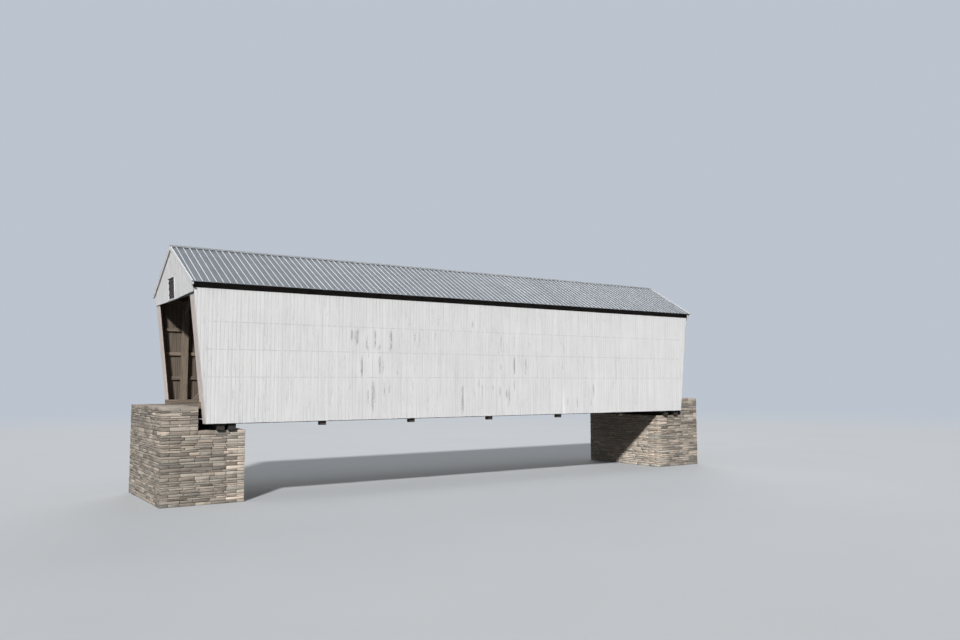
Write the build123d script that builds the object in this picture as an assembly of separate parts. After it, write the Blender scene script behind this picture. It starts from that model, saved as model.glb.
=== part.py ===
from build123d import *
import math
import os

# A timber covered bridge of one span on two stone abutments, in millimetres.
# X runs along the roadway, Y across it and Z up. The origin is on the ground at
# mid-span, midway between the two side walls. Front is -Y and left is -X.
# The structure is a multiple kingpost truss behind each boarded side wall.

# Truss driving dimensions
PANEL_COUNT = 6
PANEL_LENGTH = 3600.0
TRUSS_CLEAR_HEIGHT = 4200.0
TRUSS_SHIFT = 150.0
POST_LENGTHWISE = 220.0
POST_ACROSS = 200.0
POST_HOUSING = 40.0
POST_FOOT_DROP = 135.0
TENON_LENGTHWISE = 120.0
TENON_ACROSS = 60.0
TENON_HEIGHT = 100.0
CHORD_STICK_ACROSS = 120.0
BOTTOM_CHORD_HEIGHT = 260.0
TOP_CHORD_HEIGHT = 220.0
BRACE_DEPTH = 200.0
BRACE_ACROSS = 160.0
BRACE_HOUSING = 45.0

# Side wall driving dimensions
BRIDGE_WIDTH = 5120.0
BOARD_THICKNESS = 25.0
WALL_DRIP = 20.0
WALL_FOOT_PAST_POST = 365.0
END_RAKE_RUN = 500.0
GIRT_HEIGHT = 120.0
GIRT_COUNT = 3
FIRST_GIRT_LEVEL = 1524.0
GIRT_SPACING = 914.4
STUD_LENGTHWISE = 100.0
STUD_ACROSS = 180.0

# Abutment driving dimensions
SEAT_HEIGHT = 2400.0
SEAT_BEFORE_POST = 1010.0
ABUTMENT_SIDE_SETBACK = 200.0
BACKWALL_CLEARANCE = 96.0
BACKWALL_LENGTH = 1150.0
BED_TIMBER_HEIGHT = 200.0
BED_TIMBER_LENGTHWISE = 250.0
BED_TIMBER_SETBACK = 360.0

# Floor driving dimensions
FLOOR_BEAMS_PER_PANEL = 4
FLOOR_BEAM_LENGTHWISE = 200.0
FLOOR_BEAM_HEIGHT = 250.0
FLOOR_BEAM_CLEARANCE = 5.0
DECK_THICKNESS = 75.0
DECK_SIDE_GAP = 25.0
DECK_END_GAP = 5.0
CURB_ACROSS = 120.0
CURB_HEIGHT = 150.0
LATERAL_WIDTH = 120.0
LATERAL_HEIGHT = 120.0
LATERAL_END_MARGIN = 150.0

# Roof frame driving dimensions
ROOF_RISE_PER_RUN = 0.5565
EAVE_OVERHANG = 200.0
BIRDSMOUTH_DEPTH = 57.0
RAFTERS_PER_PANEL = 4
RAFTER_LENGTHWISE = 60.0
RAFTER_DEPTH = 120.0
RAFTER_TAIL_SETBACK = 220.0
RIDGE_BOARD_ACROSS = 38.0
RIDGE_BOARD_HEIGHT = 180.0
TIE_BEAM_LENGTHWISE = 200.0
TIE_BEAM_HEIGHT = 180.0
TIE_BEAM_COG = 40.0
TIE_BEAM_END_CLEARANCE = 5.0
KNEE_BRACE_LEG = 700.0
KNEE_BRACE_DEPTH = 120.0
KNEE_BRACE_LENGTHWISE = 100.0
PURLIN_COUNT = 6
PURLIN_WIDTH = 89.0
PURLIN_THICKNESS = 38.0
EAVE_PURLIN_SETBACK = 300.0
RIDGE_PURLIN_SETBACK = 110.0

# Roof covering driving dimensions
RIB_SPACING = 228.6
RIB_HEIGHT = 19.0
RIB_BASE_WIDTH = 46.0
RIB_TOP_WIDTH = 20.0
SHEET_THICKNESS = 3.0
SHEET_RIDGE_GAP = 30.0
ROOF_END_OVERHANG = 25.0
RIDGE_CAP_FLANGE = 150.0

# Gable driving dimensions
GABLE_REACH = 5.0
GABLE_LEAN = 0.058
GABLE_DROP = 215.0
GABLE_FOOT_RISE = 80.0
GABLE_EDGE_SETBACK = 180.0
RAKE_END_SETBACK = 20.0
RAKE_BOARD_WIDTH = 89.0
RAKE_BOARD_THICKNESS = 30.0
RAKE_JOINT = 2.0
WINDOW_WIDTH = 850.0
WINDOW_HEIGHT = 740.0
WINDOW_OFFSET = 150.0
WINDOW_FRAME_WIDTH = 35.0
WINDOW_FRAME_PROUD = 15.0
GABLE_SILL_HEIGHT = 60.0
GABLE_SILL_CLEARANCE = 2.0

# Levels, each standing on the one before
CHORD_FOOT = SEAT_HEIGHT + BED_TIMBER_HEIGHT
CHORD_TOP = CHORD_FOOT + BOTTOM_CHORD_HEIGHT
PLATE_FOOT = CHORD_TOP + TRUSS_CLEAR_HEIGHT
PLATE_TOP = PLATE_FOOT + TOP_CHORD_HEIGHT
WALL_FOOT = CHORD_FOOT + WALL_DRIP
WALL_TOP = PLATE_FOOT
BEAM_TOP = CHORD_TOP + FLOOR_BEAM_HEIGHT
DECK_TOP = BEAM_TOP + DECK_THICKNESS
CURB_TOP = DECK_TOP + CURB_HEIGHT
TIE_FOOT = PLATE_TOP - TIE_BEAM_COG
TIE_TOP = TIE_FOOT + TIE_BEAM_HEIGHT
GABLE_FOOT = WALL_TOP - GABLE_DROP
GABLE_SILL_TOP = GABLE_FOOT + GABLE_SILL_HEIGHT

# Distances across, from the middle of the roadway outwards
WALL_OUTER = BRIDGE_WIDTH / 2
WALL_INNER = WALL_OUTER - BOARD_THICKNESS
STICK_OUTER_OFFSET = POST_ACROSS / 2 - POST_HOUSING + CHORD_STICK_ACROSS
TRUSS_MIDDLE = WALL_INNER - STICK_OUTER_OFFSET
TRUSS_INNER = TRUSS_MIDDLE - STICK_OUTER_OFFSET
POST_INNER = TRUSS_MIDDLE - POST_ACROSS / 2
POST_OUTER = TRUSS_MIDDLE + POST_ACROSS / 2
DECK_HALF_WIDTH = POST_INNER - DECK_SIDE_GAP
CURB_INNER = DECK_HALF_WIDTH - CURB_ACROSS
EAVE_OUT = WALL_OUTER + EAVE_OVERHANG

# Distances along, from mid-span outwards
TRUSS_HALF_LENGTH = PANEL_COUNT * PANEL_LENGTH / 2
TRUSS_START = TRUSS_SHIFT - TRUSS_HALF_LENGTH
POST_PLACES = [TRUSS_START + i * PANEL_LENGTH for i in range(PANEL_COUNT + 1)]
WALL_FOOT_END = TRUSS_HALF_LENGTH + WALL_FOOT_PAST_POST
WALL_LEAN = END_RAKE_RUN / (WALL_TOP - WALL_FOOT)
JAMB_AT_DECK = WALL_FOOT_END + WALL_LEAN * (DECK_TOP - WALL_FOOT) + BOARD_THICKNESS
ABUTMENT_FACE = TRUSS_HALF_LENGTH - SEAT_BEFORE_POST
BACKWALL_FACE = JAMB_AT_DECK + BACKWALL_CLEARANCE
ABUTMENT_BACK = BACKWALL_FACE + BACKWALL_LENGTH
JAMB_AT_GABLE = WALL_FOOT_END + WALL_LEAN * (GABLE_FOOT - WALL_FOOT) + BOARD_THICKNESS

# Distances outwards from the gable boards' inner face
RAKE_BOARD_OUTER = BOARD_THICKNESS + RAKE_BOARD_THICKNESS
ROOF_END = RAKE_BOARD_OUTER + ROOF_END_OVERHANG

# The roof slope: rafters stand on the plate, purlins on the rafters, sheets on the purlins
PITCH = math.atan(ROOF_RISE_PER_RUN)
RAFTER_FOOT_LEVEL = PLATE_TOP - BIRDSMOUTH_DEPTH
SHEET_OFFSET = RAFTER_DEPTH + PURLIN_THICKNESS


def rafter_underside(across, lift=0.0):
    """Height of the rafters' underside this far from the middle, lifted square to the slope."""
    return RAFTER_FOOT_LEVEL + (POST_OUTER - across) * ROOF_RISE_PER_RUN + lift / math.cos(PITCH)


def sheet_underside(across):
    """Height of the roof sheets' underside at this distance from the middle."""
    return rafter_underside(across, SHEET_OFFSET)


EAVE_LEVEL = sheet_underside(EAVE_OUT)
SLOPE_LENGTH = EAVE_OUT / math.cos(PITCH)
ABOVE_ROOF = EAVE_LEVEL + EAVE_OUT


def on_slope(up_slope, lift):
    """Across and height of a point so far up the slope from the eave, lifted square off the purlins."""
    across = EAVE_OUT - up_slope * math.cos(PITCH) + lift * math.sin(PITCH)
    height = EAVE_LEVEL + up_slope * math.sin(PITCH) + lift * math.cos(PITCH)
    return across, height


def wall_end(level):
    """Half length of the side wall at this level: its ends lean outwards, so it grows upwards."""
    return WALL_FOOT_END + WALL_LEAN * (level - WALL_FOOT)


def gable_face(level):
    """Half length to the gable boards' inner face at this level: the gables lean outwards too."""
    return JAMB_AT_GABLE + GABLE_REACH + GABLE_LEAN * (level - GABLE_FOOT)


def end_to_end(face, low, high, beyond=0.0):
    """Outline of a piece that runs between the two leaning ends given by face, or so far beyond them."""
    low_half, high_half = face(low) + beyond, face(high) + beyond
    return [(-low_half, low), (low_half, low), (high_half, high), (-high_half, high)]


def leaning_strip(face, end, low, high, start, finish):
    """Outline of a strip that leans with face, from start to finish beyond it."""
    outline = [
        (face(low) + start, low),
        (face(low) + finish, low),
        (face(high) + finish, high),
        (face(high) + start, high),
    ]
    return flipped(outline, first=end)


def along_panels(per_panel):
    """Even places along the truss, so many to a panel, none of them at a post."""
    spacing = PANEL_LENGTH / per_panel
    return [TRUSS_START + (i + 0.5) * spacing for i in range(PANEL_COUNT * per_panel)]


def box_between(x_range, y_range, z_range):
    """A squared block between two corners."""
    spans = [sorted(pair) for pair in (x_range, y_range, z_range)]
    sizes = [high - low for low, high in spans]
    middle = [(low + high) / 2 for low, high in spans]
    return Pos(*middle) * Box(*sizes)


def swept(outline, plane, depth):
    """The closed outline on this plane, carried half of depth to each side of it."""
    return extrude(plane * make_face(Polyline(*outline, close=True)), amount=depth / 2, both=True)


def seen_from_side(outline, y_middle, across):
    """A piece with this outline in X and Z."""
    return swept(outline, Plane.XZ.offset(-y_middle), across)


def seen_from_end(outline, x_middle, along):
    """A piece with this outline in Y and Z."""
    return swept(outline, Plane.YZ.offset(x_middle), along)


def seen_from_above(outline, z_low, z_high):
    """A piece with this outline in X and Y."""
    return swept(outline, Plane.XY.offset((z_low + z_high) / 2), z_high - z_low)


def flipped(outline, first=1, second=1):
    """The same outline mirrored in its first or its second coordinate."""
    return [(first * a, second * b) for a, b in outline]


def leaning_piece(face, end, outline, start, finish):
    """A piece with this outline in Y and Z, kept between two planes that lean with face."""
    block = seen_from_end(outline, end * face(PLATE_FOOT), BRIDGE_WIDTH)
    slab = leaning_strip(face, end, 0, ABOVE_ROOF, start, finish)
    return block & seen_from_side(slab, 0, 2 * BRIDGE_WIDTH)


def cut_at_gables(solid, beyond=0.0):
    """The solid with both ends cut off along the gables, or so far beyond them."""
    outline = end_to_end(gable_face, 0, ABOVE_ROOF, beyond)
    return solid & seen_from_side(outline, 0, 2 * BRIDGE_WIDTH)


def save(name, solids):
    """Write one piece, or a group of like pieces that stand apart, as parts/NAME.step."""
    loose = [solid for shape in solids for solid in shape.solids()]
    export_step(loose[0] if len(loose) == 1 else Compound(children=loose), f"parts/{name}.step")


def abutment(end):
    """One mass of masonry: the pier under the bridge seat and the backwall that holds the road."""
    profile = [
        (ABUTMENT_FACE, 0),
        (ABUTMENT_BACK, 0),
        (ABUTMENT_BACK, DECK_TOP),
        (BACKWALL_FACE, DECK_TOP),
        (BACKWALL_FACE, SEAT_HEIGHT),
        (ABUTMENT_FACE, SEAT_HEIGHT),
    ]
    return seen_from_side(flipped(profile, first=end), 0, BRIDGE_WIDTH - 2 * ABUTMENT_SIDE_SETBACK)


def bed_timbers(end):
    """Two timbers across each bridge seat, one near its edge and one under the end posts."""
    half = BED_TIMBER_LENGTHWISE / 2
    across, levels = (-POST_OUTER, POST_OUTER), (SEAT_HEIGHT, CHORD_FOOT)
    near_edge = end * (ABUTMENT_FACE + BED_TIMBER_SETBACK + half)
    end_post = TRUSS_SHIFT + end * TRUSS_HALF_LENGTH
    return [box_between((x - half, x + half), across, levels) for x in (near_edge, end_post)]


def chord_sticks(side):
    """The bottom chord: two sticks that grip the posts, cut at the lean of the wall's ends."""
    profile = end_to_end(wall_end, CHORD_FOOT, CHORD_TOP)
    offset = STICK_OUTER_OFFSET - CHORD_STICK_ACROSS / 2
    return [
        seen_from_side(profile, side * TRUSS_MIDDLE + shift, CHORD_STICK_ACROSS)
        for shift in (-offset, offset)
    ]


def brace_angle():
    """Slope of a square-ended brace that just fits between the chords and the posts' notches."""
    run = PANEL_LENGTH - POST_LENGTHWISE + 2 * BRACE_HOUSING
    angle = math.atan2(TRUSS_CLEAR_HEIGHT, run)
    for _ in range(40):
        rise_left = TRUSS_CLEAR_HEIGHT - BRACE_DEPTH * math.cos(angle)
        run_left = run - BRACE_DEPTH * math.sin(angle)
        angle = math.atan2(rise_left, run_left)
    return angle


def brace_outline(outer_post, inner_post):
    """A brace from the foot of the outer post up to the head of the inner one."""
    angle = brace_angle()
    inwards = math.copysign(1, inner_post - outer_post)
    notch = inwards * (POST_LENGTHWISE / 2 - BRACE_HOUSING)
    across_x = inwards * BRACE_DEPTH * math.sin(angle)
    across_z = BRACE_DEPTH * math.cos(angle)
    foot_x = outer_post + notch
    head_x = inner_post - notch
    return [
        (foot_x, CHORD_TOP + across_z),
        (foot_x + across_x, CHORD_TOP),
        (head_x, PLATE_FOOT - across_z),
        (head_x - across_x, PLATE_FOOT),
    ]


def braces(side):
    """All braces of one truss. They lean towards mid-span from both ends."""
    middle = PANEL_COUNT // 2
    solids = []
    for half in (POST_PLACES[: middle + 1], POST_PLACES[: middle - 1 : -1]):
        for outer, inner in zip(half, half[1:]):
            outline = brace_outline(outer, inner)
            solids.append(seen_from_side(outline, side * TRUSS_MIDDLE, BRACE_ACROSS))
    return solids


def post(x, side, sticks, brace_solids):
    """A post with a tenon in the plate, notches for the braces and a neck gripped by the chord sticks."""
    stands_on_bed = abs(x) > ABUTMENT_FACE
    foot = CHORD_FOOT if stands_on_bed else CHORD_FOOT - POST_FOOT_DROP
    half = POST_LENGTHWISE / 2
    y = side * TRUSS_MIDDLE
    shaft = box_between(
        (x - half, x + half),
        (y - POST_ACROSS / 2, y + POST_ACROSS / 2),
        (foot, PLATE_FOOT),
    )
    tenon = box_between(
        (x - TENON_LENGTHWISE / 2, x + TENON_LENGTHWISE / 2),
        (y - TENON_ACROSS / 2, y + TENON_ACROSS / 2),
        (PLATE_FOOT, PLATE_FOOT + TENON_HEIGHT),
    )
    solid = shaft + tenon
    for other in sticks + brace_solids:
        solid = solid - other
    return solid


def tie_beam(x):
    """A beam across the bridge, cogged over both plates, its ends cut to the roof's slope."""
    end_level = rafter_underside(POST_OUTER, RAFTER_DEPTH) - TIE_BEAM_END_CLEARANCE
    shoulder = POST_OUTER - (TIE_TOP - end_level) / ROOF_RISE_PER_RUN
    right_half = [(POST_OUTER, TIE_FOOT), (POST_OUTER, end_level), (shoulder, TIE_TOP)]
    left_half = flipped(reversed(right_half), first=-1)
    return seen_from_end(right_half + left_half, x, TIE_BEAM_LENGTHWISE)


def top_chord(side, posts, tie_beams):
    """The plate on the posts' heads, mortised for their tenons and cogged for the tie beams."""
    profile = end_to_end(gable_face, PLATE_FOOT, PLATE_TOP)
    plate = seen_from_side(profile, side * TRUSS_MIDDLE, POST_ACROSS)
    for other in posts + tie_beams:
        plate = plate - other
    return plate


def knee_brace(x, side):
    """A short diagonal from a post's inner face up to the tie beam above it."""
    thick = KNEE_BRACE_DEPTH * math.sqrt(2)
    outline = [
        (POST_INNER, TIE_FOOT - KNEE_BRACE_LEG),
        (POST_INNER, TIE_FOOT - KNEE_BRACE_LEG + thick),
        (POST_INNER - KNEE_BRACE_LEG + thick, TIE_FOOT),
        (POST_INNER - KNEE_BRACE_LEG, TIE_FOOT),
    ]
    return seen_from_end(flipped(outline, first=side), x, KNEE_BRACE_LENGTHWISE)


def lateral_pair(start, finish, reach, cut_along_x):
    """Outlines in plan of two diagonals that cross in a bay, their ends cut against the bay's sides.

    The ends are cut along X where they meet the chords, or along Y where they meet the tie beams.
    """
    run, rise = finish - start, 2 * reach
    length = math.hypot(run, rise)
    if cut_along_x:
        shift = (LATERAL_WIDTH / 2 * length / rise, 0)
    else:
        shift = (0, LATERAL_WIDTH / 2 * length / run)
    brace = [
        (start - shift[0], -reach + shift[1]),
        (start + shift[0], -reach - shift[1]),
        (finish + shift[0], reach - shift[1]),
        (finish - shift[0], reach + shift[1]),
    ]
    return brace, flipped(brace, second=-1)


def halved(pairs, z_low):
    """Diagonals halved over each other where they cross: each brace under its counter."""
    z_middle = z_low + LATERAL_HEIGHT / 2
    z_high = z_low + LATERAL_HEIGHT
    lower, upper = [], []
    for brace, counter in pairs:
        lower_stick = seen_from_above(brace, z_low, z_high)
        upper_stick = seen_from_above(counter, z_low, z_high)
        lower.append(lower_stick - seen_from_above(counter, z_middle, z_high))
        upper.append(upper_stick - seen_from_above(brace, z_low, z_middle))
    return lower, upper


def lower_laterals():
    """Crossed diagonals between the two bottom chords, one pair in each panel."""
    z_low = CHORD_FOOT + (BOTTOM_CHORD_HEIGHT - LATERAL_HEIGHT) / 2
    pairs = [
        lateral_pair(left + LATERAL_END_MARGIN, right - LATERAL_END_MARGIN, TRUSS_INNER, True)
        for left, right in zip(POST_PLACES, POST_PLACES[1:])
    ]
    return halved(pairs, z_low)


def upper_laterals():
    """Crossed diagonals between the tie beams, one pair in each panel."""
    z_low = TIE_FOOT + (TIE_BEAM_HEIGHT - LATERAL_HEIGHT) / 2
    half = TIE_BEAM_LENGTHWISE / 2
    reach = POST_INNER - LATERAL_END_MARGIN
    pairs = [
        lateral_pair(left + half, right - half, reach, False)
        for left, right in zip(POST_PLACES, POST_PLACES[1:])
    ]
    return halved(pairs, z_low)


def floor_beams():
    """Beams across the bridge on the inner chord sticks, midway between each other and the posts."""
    half = FLOOR_BEAM_LENGTHWISE / 2
    reach = POST_INNER - FLOOR_BEAM_CLEARANCE
    last = WALL_FOOT_END - half
    return [
        box_between((x - half, x + half), (-reach, reach), (CHORD_TOP, BEAM_TOP))
        for x in [-last] + along_panels(FLOOR_BEAMS_PER_PANEL) + [last]
    ]


def deck():
    """The plank floor, laid on the floor beams from one backwall to the other."""
    reach = BACKWALL_FACE - DECK_END_GAP
    return box_between((-reach, reach), (-DECK_HALF_WIDTH, DECK_HALF_WIDTH), (BEAM_TOP, DECK_TOP))


def curb(side):
    """A timber along each edge of the floor that keeps wheels off the truss."""
    reach = BACKWALL_FACE - DECK_END_GAP
    across = (side * DECK_HALF_WIDTH, side * CURB_INNER)
    return box_between((-reach, reach), across, (DECK_TOP, CURB_TOP))


def rafter_outline(side):
    """A rafter with a birdsmouth over the plate, a plumb cut at the ridge and a plumb tail."""
    ridge = RIDGE_BOARD_ACROSS / 2
    tail = EAVE_OUT - RAFTER_TAIL_SETBACK
    seat = POST_OUTER - BIRDSMOUTH_DEPTH / ROOF_RISE_PER_RUN
    outline = [
        (ridge, rafter_underside(ridge)),
        (seat, PLATE_TOP),
        (POST_OUTER, PLATE_TOP),
        (POST_OUTER, RAFTER_FOOT_LEVEL),
        (tail, rafter_underside(tail)),
        (tail, rafter_underside(tail, RAFTER_DEPTH)),
        (ridge, rafter_underside(ridge, RAFTER_DEPTH)),
    ]
    return flipped(outline, first=side)


def rafters(side):
    """Rafters at even spacing clear of the tie beams, with one more that leans against each gable."""
    outline = rafter_outline(side)
    places = along_panels(RAFTERS_PER_PANEL)
    spacing = PANEL_LENGTH / RAFTERS_PER_PANEL
    places = [places[0] - spacing] + places + [places[-1] + spacing]
    plumb = [seen_from_end(outline, x, RAFTER_LENGTHWISE) for x in places]
    return plumb + [leaning_piece(gable_face, end, outline, -RAFTER_LENGTHWISE, 0) for end in (-1, 1)]


def ridge_board():
    """The board between the rafters' heads, from gable to gable."""
    top = rafter_underside(RIDGE_BOARD_ACROSS / 2, RAFTER_DEPTH)
    outline = end_to_end(gable_face, top - RIDGE_BOARD_HEIGHT, top)
    return seen_from_side(outline, 0, RIDGE_BOARD_ACROSS)


def purlins(side):
    """Flat timbers along the roof, on the rafters, that the sheets are fastened to."""
    first = EAVE_PURLIN_SETBACK
    last = SLOPE_LENGTH - RIDGE_PURLIN_SETBACK
    solids = []
    for i in range(PURLIN_COUNT):
        middle = first + (last - first) * i / (PURLIN_COUNT - 1)
        low, high = middle - PURLIN_WIDTH / 2, middle + PURLIN_WIDTH / 2
        corners = ((low, -PURLIN_THICKNESS), (high, -PURLIN_THICKNESS), (high, 0), (low, 0))
        outline = flipped([on_slope(*corner) for corner in corners], first=side)
        solids.append(cut_at_gables(seen_from_end(outline, 0, 2 * gable_face(ABOVE_ROOF))))
    return solids


def rib_line(base_width, top_width, height, lift):
    """The sheet's surface seen along the slope: flat pans with a raised rib at each spacing."""
    shortest = 2 * (gable_face(EAVE_LEVEL) + ROOF_END)
    longest = 2 * (gable_face(ABOVE_ROOF) + ROOF_END)
    count = math.floor((shortest - RIB_BASE_WIDTH) / RIB_SPACING) + 1
    points = [(-longest / 2, lift)]
    for i in range(count):
        x = (i - (count - 1) / 2) * RIB_SPACING
        points += [
            (x - base_width / 2, lift),
            (x - top_width / 2, lift + height),
            (x + top_width / 2, lift + height),
            (x + base_width / 2, lift),
        ]
    return points + [(longest / 2, lift)]


def roof_sheets(side):
    """Ribbed metal sheets on one slope: the rib section carried up from the eave, cut at the gables."""
    wall = SHEET_THICKNESS
    top = rib_line(RIB_BASE_WIDTH, RIB_TOP_WIDTH, RIB_HEIGHT, wall)
    underside = rib_line(RIB_BASE_WIDTH - wall, RIB_TOP_WIDTH - wall, RIB_HEIGHT, 0)
    section = top + underside[::-1]
    up_slope = (0, -side * math.cos(PITCH), math.sin(PITCH))
    plane = Plane(origin=(0, side * EAVE_OUT, EAVE_LEVEL), x_dir=(side, 0, 0), z_dir=up_slope)
    face = plane * make_face(Polyline(*flipped(section, first=side), close=True))
    return cut_at_gables(extrude(face, amount=SLOPE_LENGTH - SHEET_RIDGE_GAP, dir=up_slope), ROOF_END)


def ridge_cap():
    """A folded strip that rides on the ribs over the joint of the two slopes."""
    low = SHEET_THICKNESS + RIB_HEIGHT
    high = low + SHEET_THICKNESS
    foot = SLOPE_LENGTH - RIDGE_CAP_FLANGE
    underside_apex = EAVE_LEVEL + EAVE_OUT * ROOF_RISE_PER_RUN + low / math.cos(PITCH)
    top_apex = underside_apex + SHEET_THICKNESS / math.cos(PITCH)
    inner, outer = on_slope(foot, low), on_slope(foot, high)
    outline = [
        inner,
        outer,
        (0, top_apex),
        (-outer[0], outer[1]),
        (-inner[0], inner[1]),
        (0, underside_apex),
    ]
    return cut_at_gables(seen_from_end(outline, 0, 2 * gable_face(ABOVE_ROOF)), ROOF_END)


def side_wall(side):
    """The boarded wall: its foot is level and both ends lean outwards to the eaves."""
    outline = end_to_end(wall_end, WALL_FOOT, WALL_TOP)
    return seen_from_side(outline, side * (WALL_OUTER - BOARD_THICKNESS / 2), BOARD_THICKNESS)


def girts(side):
    """Rails on the posts' outer faces that the wall boards are nailed to, the last at the wall's head."""
    middles = [WALL_FOOT + FIRST_GIRT_LEVEL + i * GIRT_SPACING for i in range(GIRT_COUNT)]
    middles.append(WALL_TOP - GIRT_HEIGHT / 2)
    y = side * (POST_OUTER + WALL_INNER) / 2
    solids = []
    for middle in middles:
        outline = end_to_end(wall_end, middle - GIRT_HEIGHT / 2, middle + GIRT_HEIGHT / 2)
        solids.append(seen_from_side(outline, y, WALL_INNER - POST_OUTER))
    return solids


def portal_stud(end, side):
    """The leaning stud at the end of a truss, from the bottom chord up to the plate."""
    outline = leaning_strip(wall_end, end, CHORD_TOP, PLATE_FOOT, -STUD_LENGTHWISE, 0)
    return seen_from_side(outline, side * TRUSS_MIDDLE, STUD_ACROSS)


def portal_jamb(end, side):
    """The boards that close the end of a side wall, stepped to stand on the curb and widen over it."""
    outline = [
        (WALL_OUTER, WALL_FOOT),
        (POST_INNER, WALL_FOOT),
        (POST_INNER, CURB_TOP),
        (CURB_INNER, CURB_TOP),
        (CURB_INNER, GABLE_FOOT),
        (WALL_OUTER, GABLE_FOOT),
    ]
    return leaning_piece(wall_end, end, flipped(outline, first=side), 0, BOARD_THICKNESS)


def window_outline(margin=0.0):
    """The gable window's outline in Y and Z, grown by a margin on all four edges."""
    half = WINDOW_WIDTH / 2 + margin
    near, far = WINDOW_OFFSET - half, WINDOW_OFFSET + half
    low, high = GABLE_SILL_TOP - margin, GABLE_SILL_TOP + WINDOW_HEIGHT + margin
    return [(near, low), (far, low), (far, high), (near, high)]


def gable(end):
    """The boarded gable, hung in front of the portal, with a window cut through it.

    Its foot is level from the back edge to the middle and rises from there to the front edge.
    """
    edge = EAVE_OUT - GABLE_EDGE_SETBACK
    outline = [
        (-edge, GABLE_FOOT + GABLE_FOOT_RISE),
        (0, GABLE_FOOT),
        (edge, GABLE_FOOT),
        (edge, sheet_underside(edge)),
        (0, sheet_underside(0)),
        (-edge, sheet_underside(edge)),
    ]
    panel = leaning_piece(gable_face, end, outline, 0, BOARD_THICKNESS)
    window = seen_from_end(window_outline(WINDOW_FRAME_WIDTH), end * gable_face(PLATE_FOOT), BRIDGE_WIDTH)
    return panel - window


def window_frame(end):
    """The frame in the gable's window, standing a little proud of the boards."""
    outline = window_outline(WINDOW_FRAME_WIDTH)
    block = leaning_piece(gable_face, end, outline, 0, BOARD_THICKNESS + WINDOW_FRAME_PROUD)
    return block - seen_from_end(window_outline(), end * gable_face(PLATE_FOOT), BRIDGE_WIDTH)


def rake_board(end, side):
    """A board on the gable along one slope of the roof."""
    edge = EAVE_OUT - RAKE_END_SETBACK
    drop = RAKE_BOARD_WIDTH / math.cos(PITCH)
    outline = [
        (RAKE_JOINT / 2, sheet_underside(RAKE_JOINT / 2) - drop),
        (edge, sheet_underside(edge) - drop),
        (edge, sheet_underside(edge)),
        (RAKE_JOINT / 2, sheet_underside(RAKE_JOINT / 2)),
    ]
    return leaning_piece(gable_face, end, flipped(outline, first=side), BOARD_THICKNESS, RAKE_BOARD_OUTER)


def gable_sill(end):
    """The timber behind the gable's foot that its boards are nailed to, resting on the jambs."""
    room = gable_face(GABLE_SILL_TOP) - wall_end(GABLE_SILL_TOP) - GABLE_SILL_CLEARANCE
    outline = [
        (-WALL_INNER, GABLE_FOOT),
        (WALL_INNER, GABLE_FOOT),
        (WALL_INNER, GABLE_SILL_TOP),
        (-WALL_INNER, GABLE_SILL_TOP),
    ]
    return leaning_piece(gable_face, end, outline, -room, 0)


os.makedirs("parts", exist_ok=True)

ties = [tie_beam(x) for x in POST_PLACES]
save("tie_beams", ties)

for side, face in ((-1, "front"), (1, "back")):
    sticks = chord_sticks(side)
    brace_solids = braces(side)
    posts = [post(x, side, sticks, brace_solids) for x in POST_PLACES]
    save(f"{face}_bottom_chord", sticks)
    save(f"{face}_braces", brace_solids)
    save(f"{face}_posts", posts)
    save(f"{face}_top_chord", [top_chord(side, posts, ties)])
    save(f"{face}_girts", girts(side))
    save(f"{face}_siding", [side_wall(side)])
    save(f"{face}_rafters", rafters(side))
    save(f"{face}_purlins", purlins(side))
    save(f"{face}_roof", [roof_sheets(side)])

for end, hand in ((-1, "left"), (1, "right")):
    save(f"{hand}_abutment", [abutment(end)])
    save(f"{hand}_bed_timbers", bed_timbers(end))
    save(f"{hand}_portal_studs", [portal_stud(end, side) for side in (-1, 1)])
    save(f"{hand}_portal_jambs", [portal_jamb(end, side) for side in (-1, 1)])
    save(f"{hand}_gable", [gable(end)])
    save(f"{hand}_gable_sill", [gable_sill(end)])
    save(f"{hand}_window_frame", [window_frame(end)])
    save(f"{hand}_rake_boards", [rake_board(end, side) for side in (-1, 1)])

lower_braces, lower_counters = lower_laterals()
upper_braces, upper_counters = upper_laterals()
save("lower_lateral_braces", lower_braces)
save("lower_lateral_counters", lower_counters)
save("upper_lateral_braces", upper_braces)
save("upper_lateral_counters", upper_counters)
save("knee_braces", [knee_brace(x, side) for x in POST_PLACES for side in (-1, 1)])
save("floor_beams", floor_beams())
save("deck", [deck()])
save("curbs", [curb(side) for side in (-1, 1)])
save("ridge_board", [ridge_board()])
save("ridge_cap", [ridge_cap()])
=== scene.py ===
import math
from itertools import pairwise

import bpy
import numpy as np
from mathutils import Matrix, Vector


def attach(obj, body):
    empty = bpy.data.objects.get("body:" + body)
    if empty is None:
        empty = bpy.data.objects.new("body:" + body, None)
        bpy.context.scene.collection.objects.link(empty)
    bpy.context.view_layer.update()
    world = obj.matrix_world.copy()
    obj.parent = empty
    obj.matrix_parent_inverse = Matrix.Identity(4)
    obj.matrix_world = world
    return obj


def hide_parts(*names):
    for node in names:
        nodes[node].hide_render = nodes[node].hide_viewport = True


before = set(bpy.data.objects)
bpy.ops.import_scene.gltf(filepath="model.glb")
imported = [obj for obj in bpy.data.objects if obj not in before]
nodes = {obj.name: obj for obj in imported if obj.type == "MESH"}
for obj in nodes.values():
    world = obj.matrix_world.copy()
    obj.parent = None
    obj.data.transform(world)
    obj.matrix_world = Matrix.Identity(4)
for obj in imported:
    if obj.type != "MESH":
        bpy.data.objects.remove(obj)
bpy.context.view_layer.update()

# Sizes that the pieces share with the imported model, in metres
WALL_FOOT = 2.62
WALL_TOP = 7.06
WALL_FOOT_END = 11.165
WALL_TOP_END = 11.665
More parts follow.
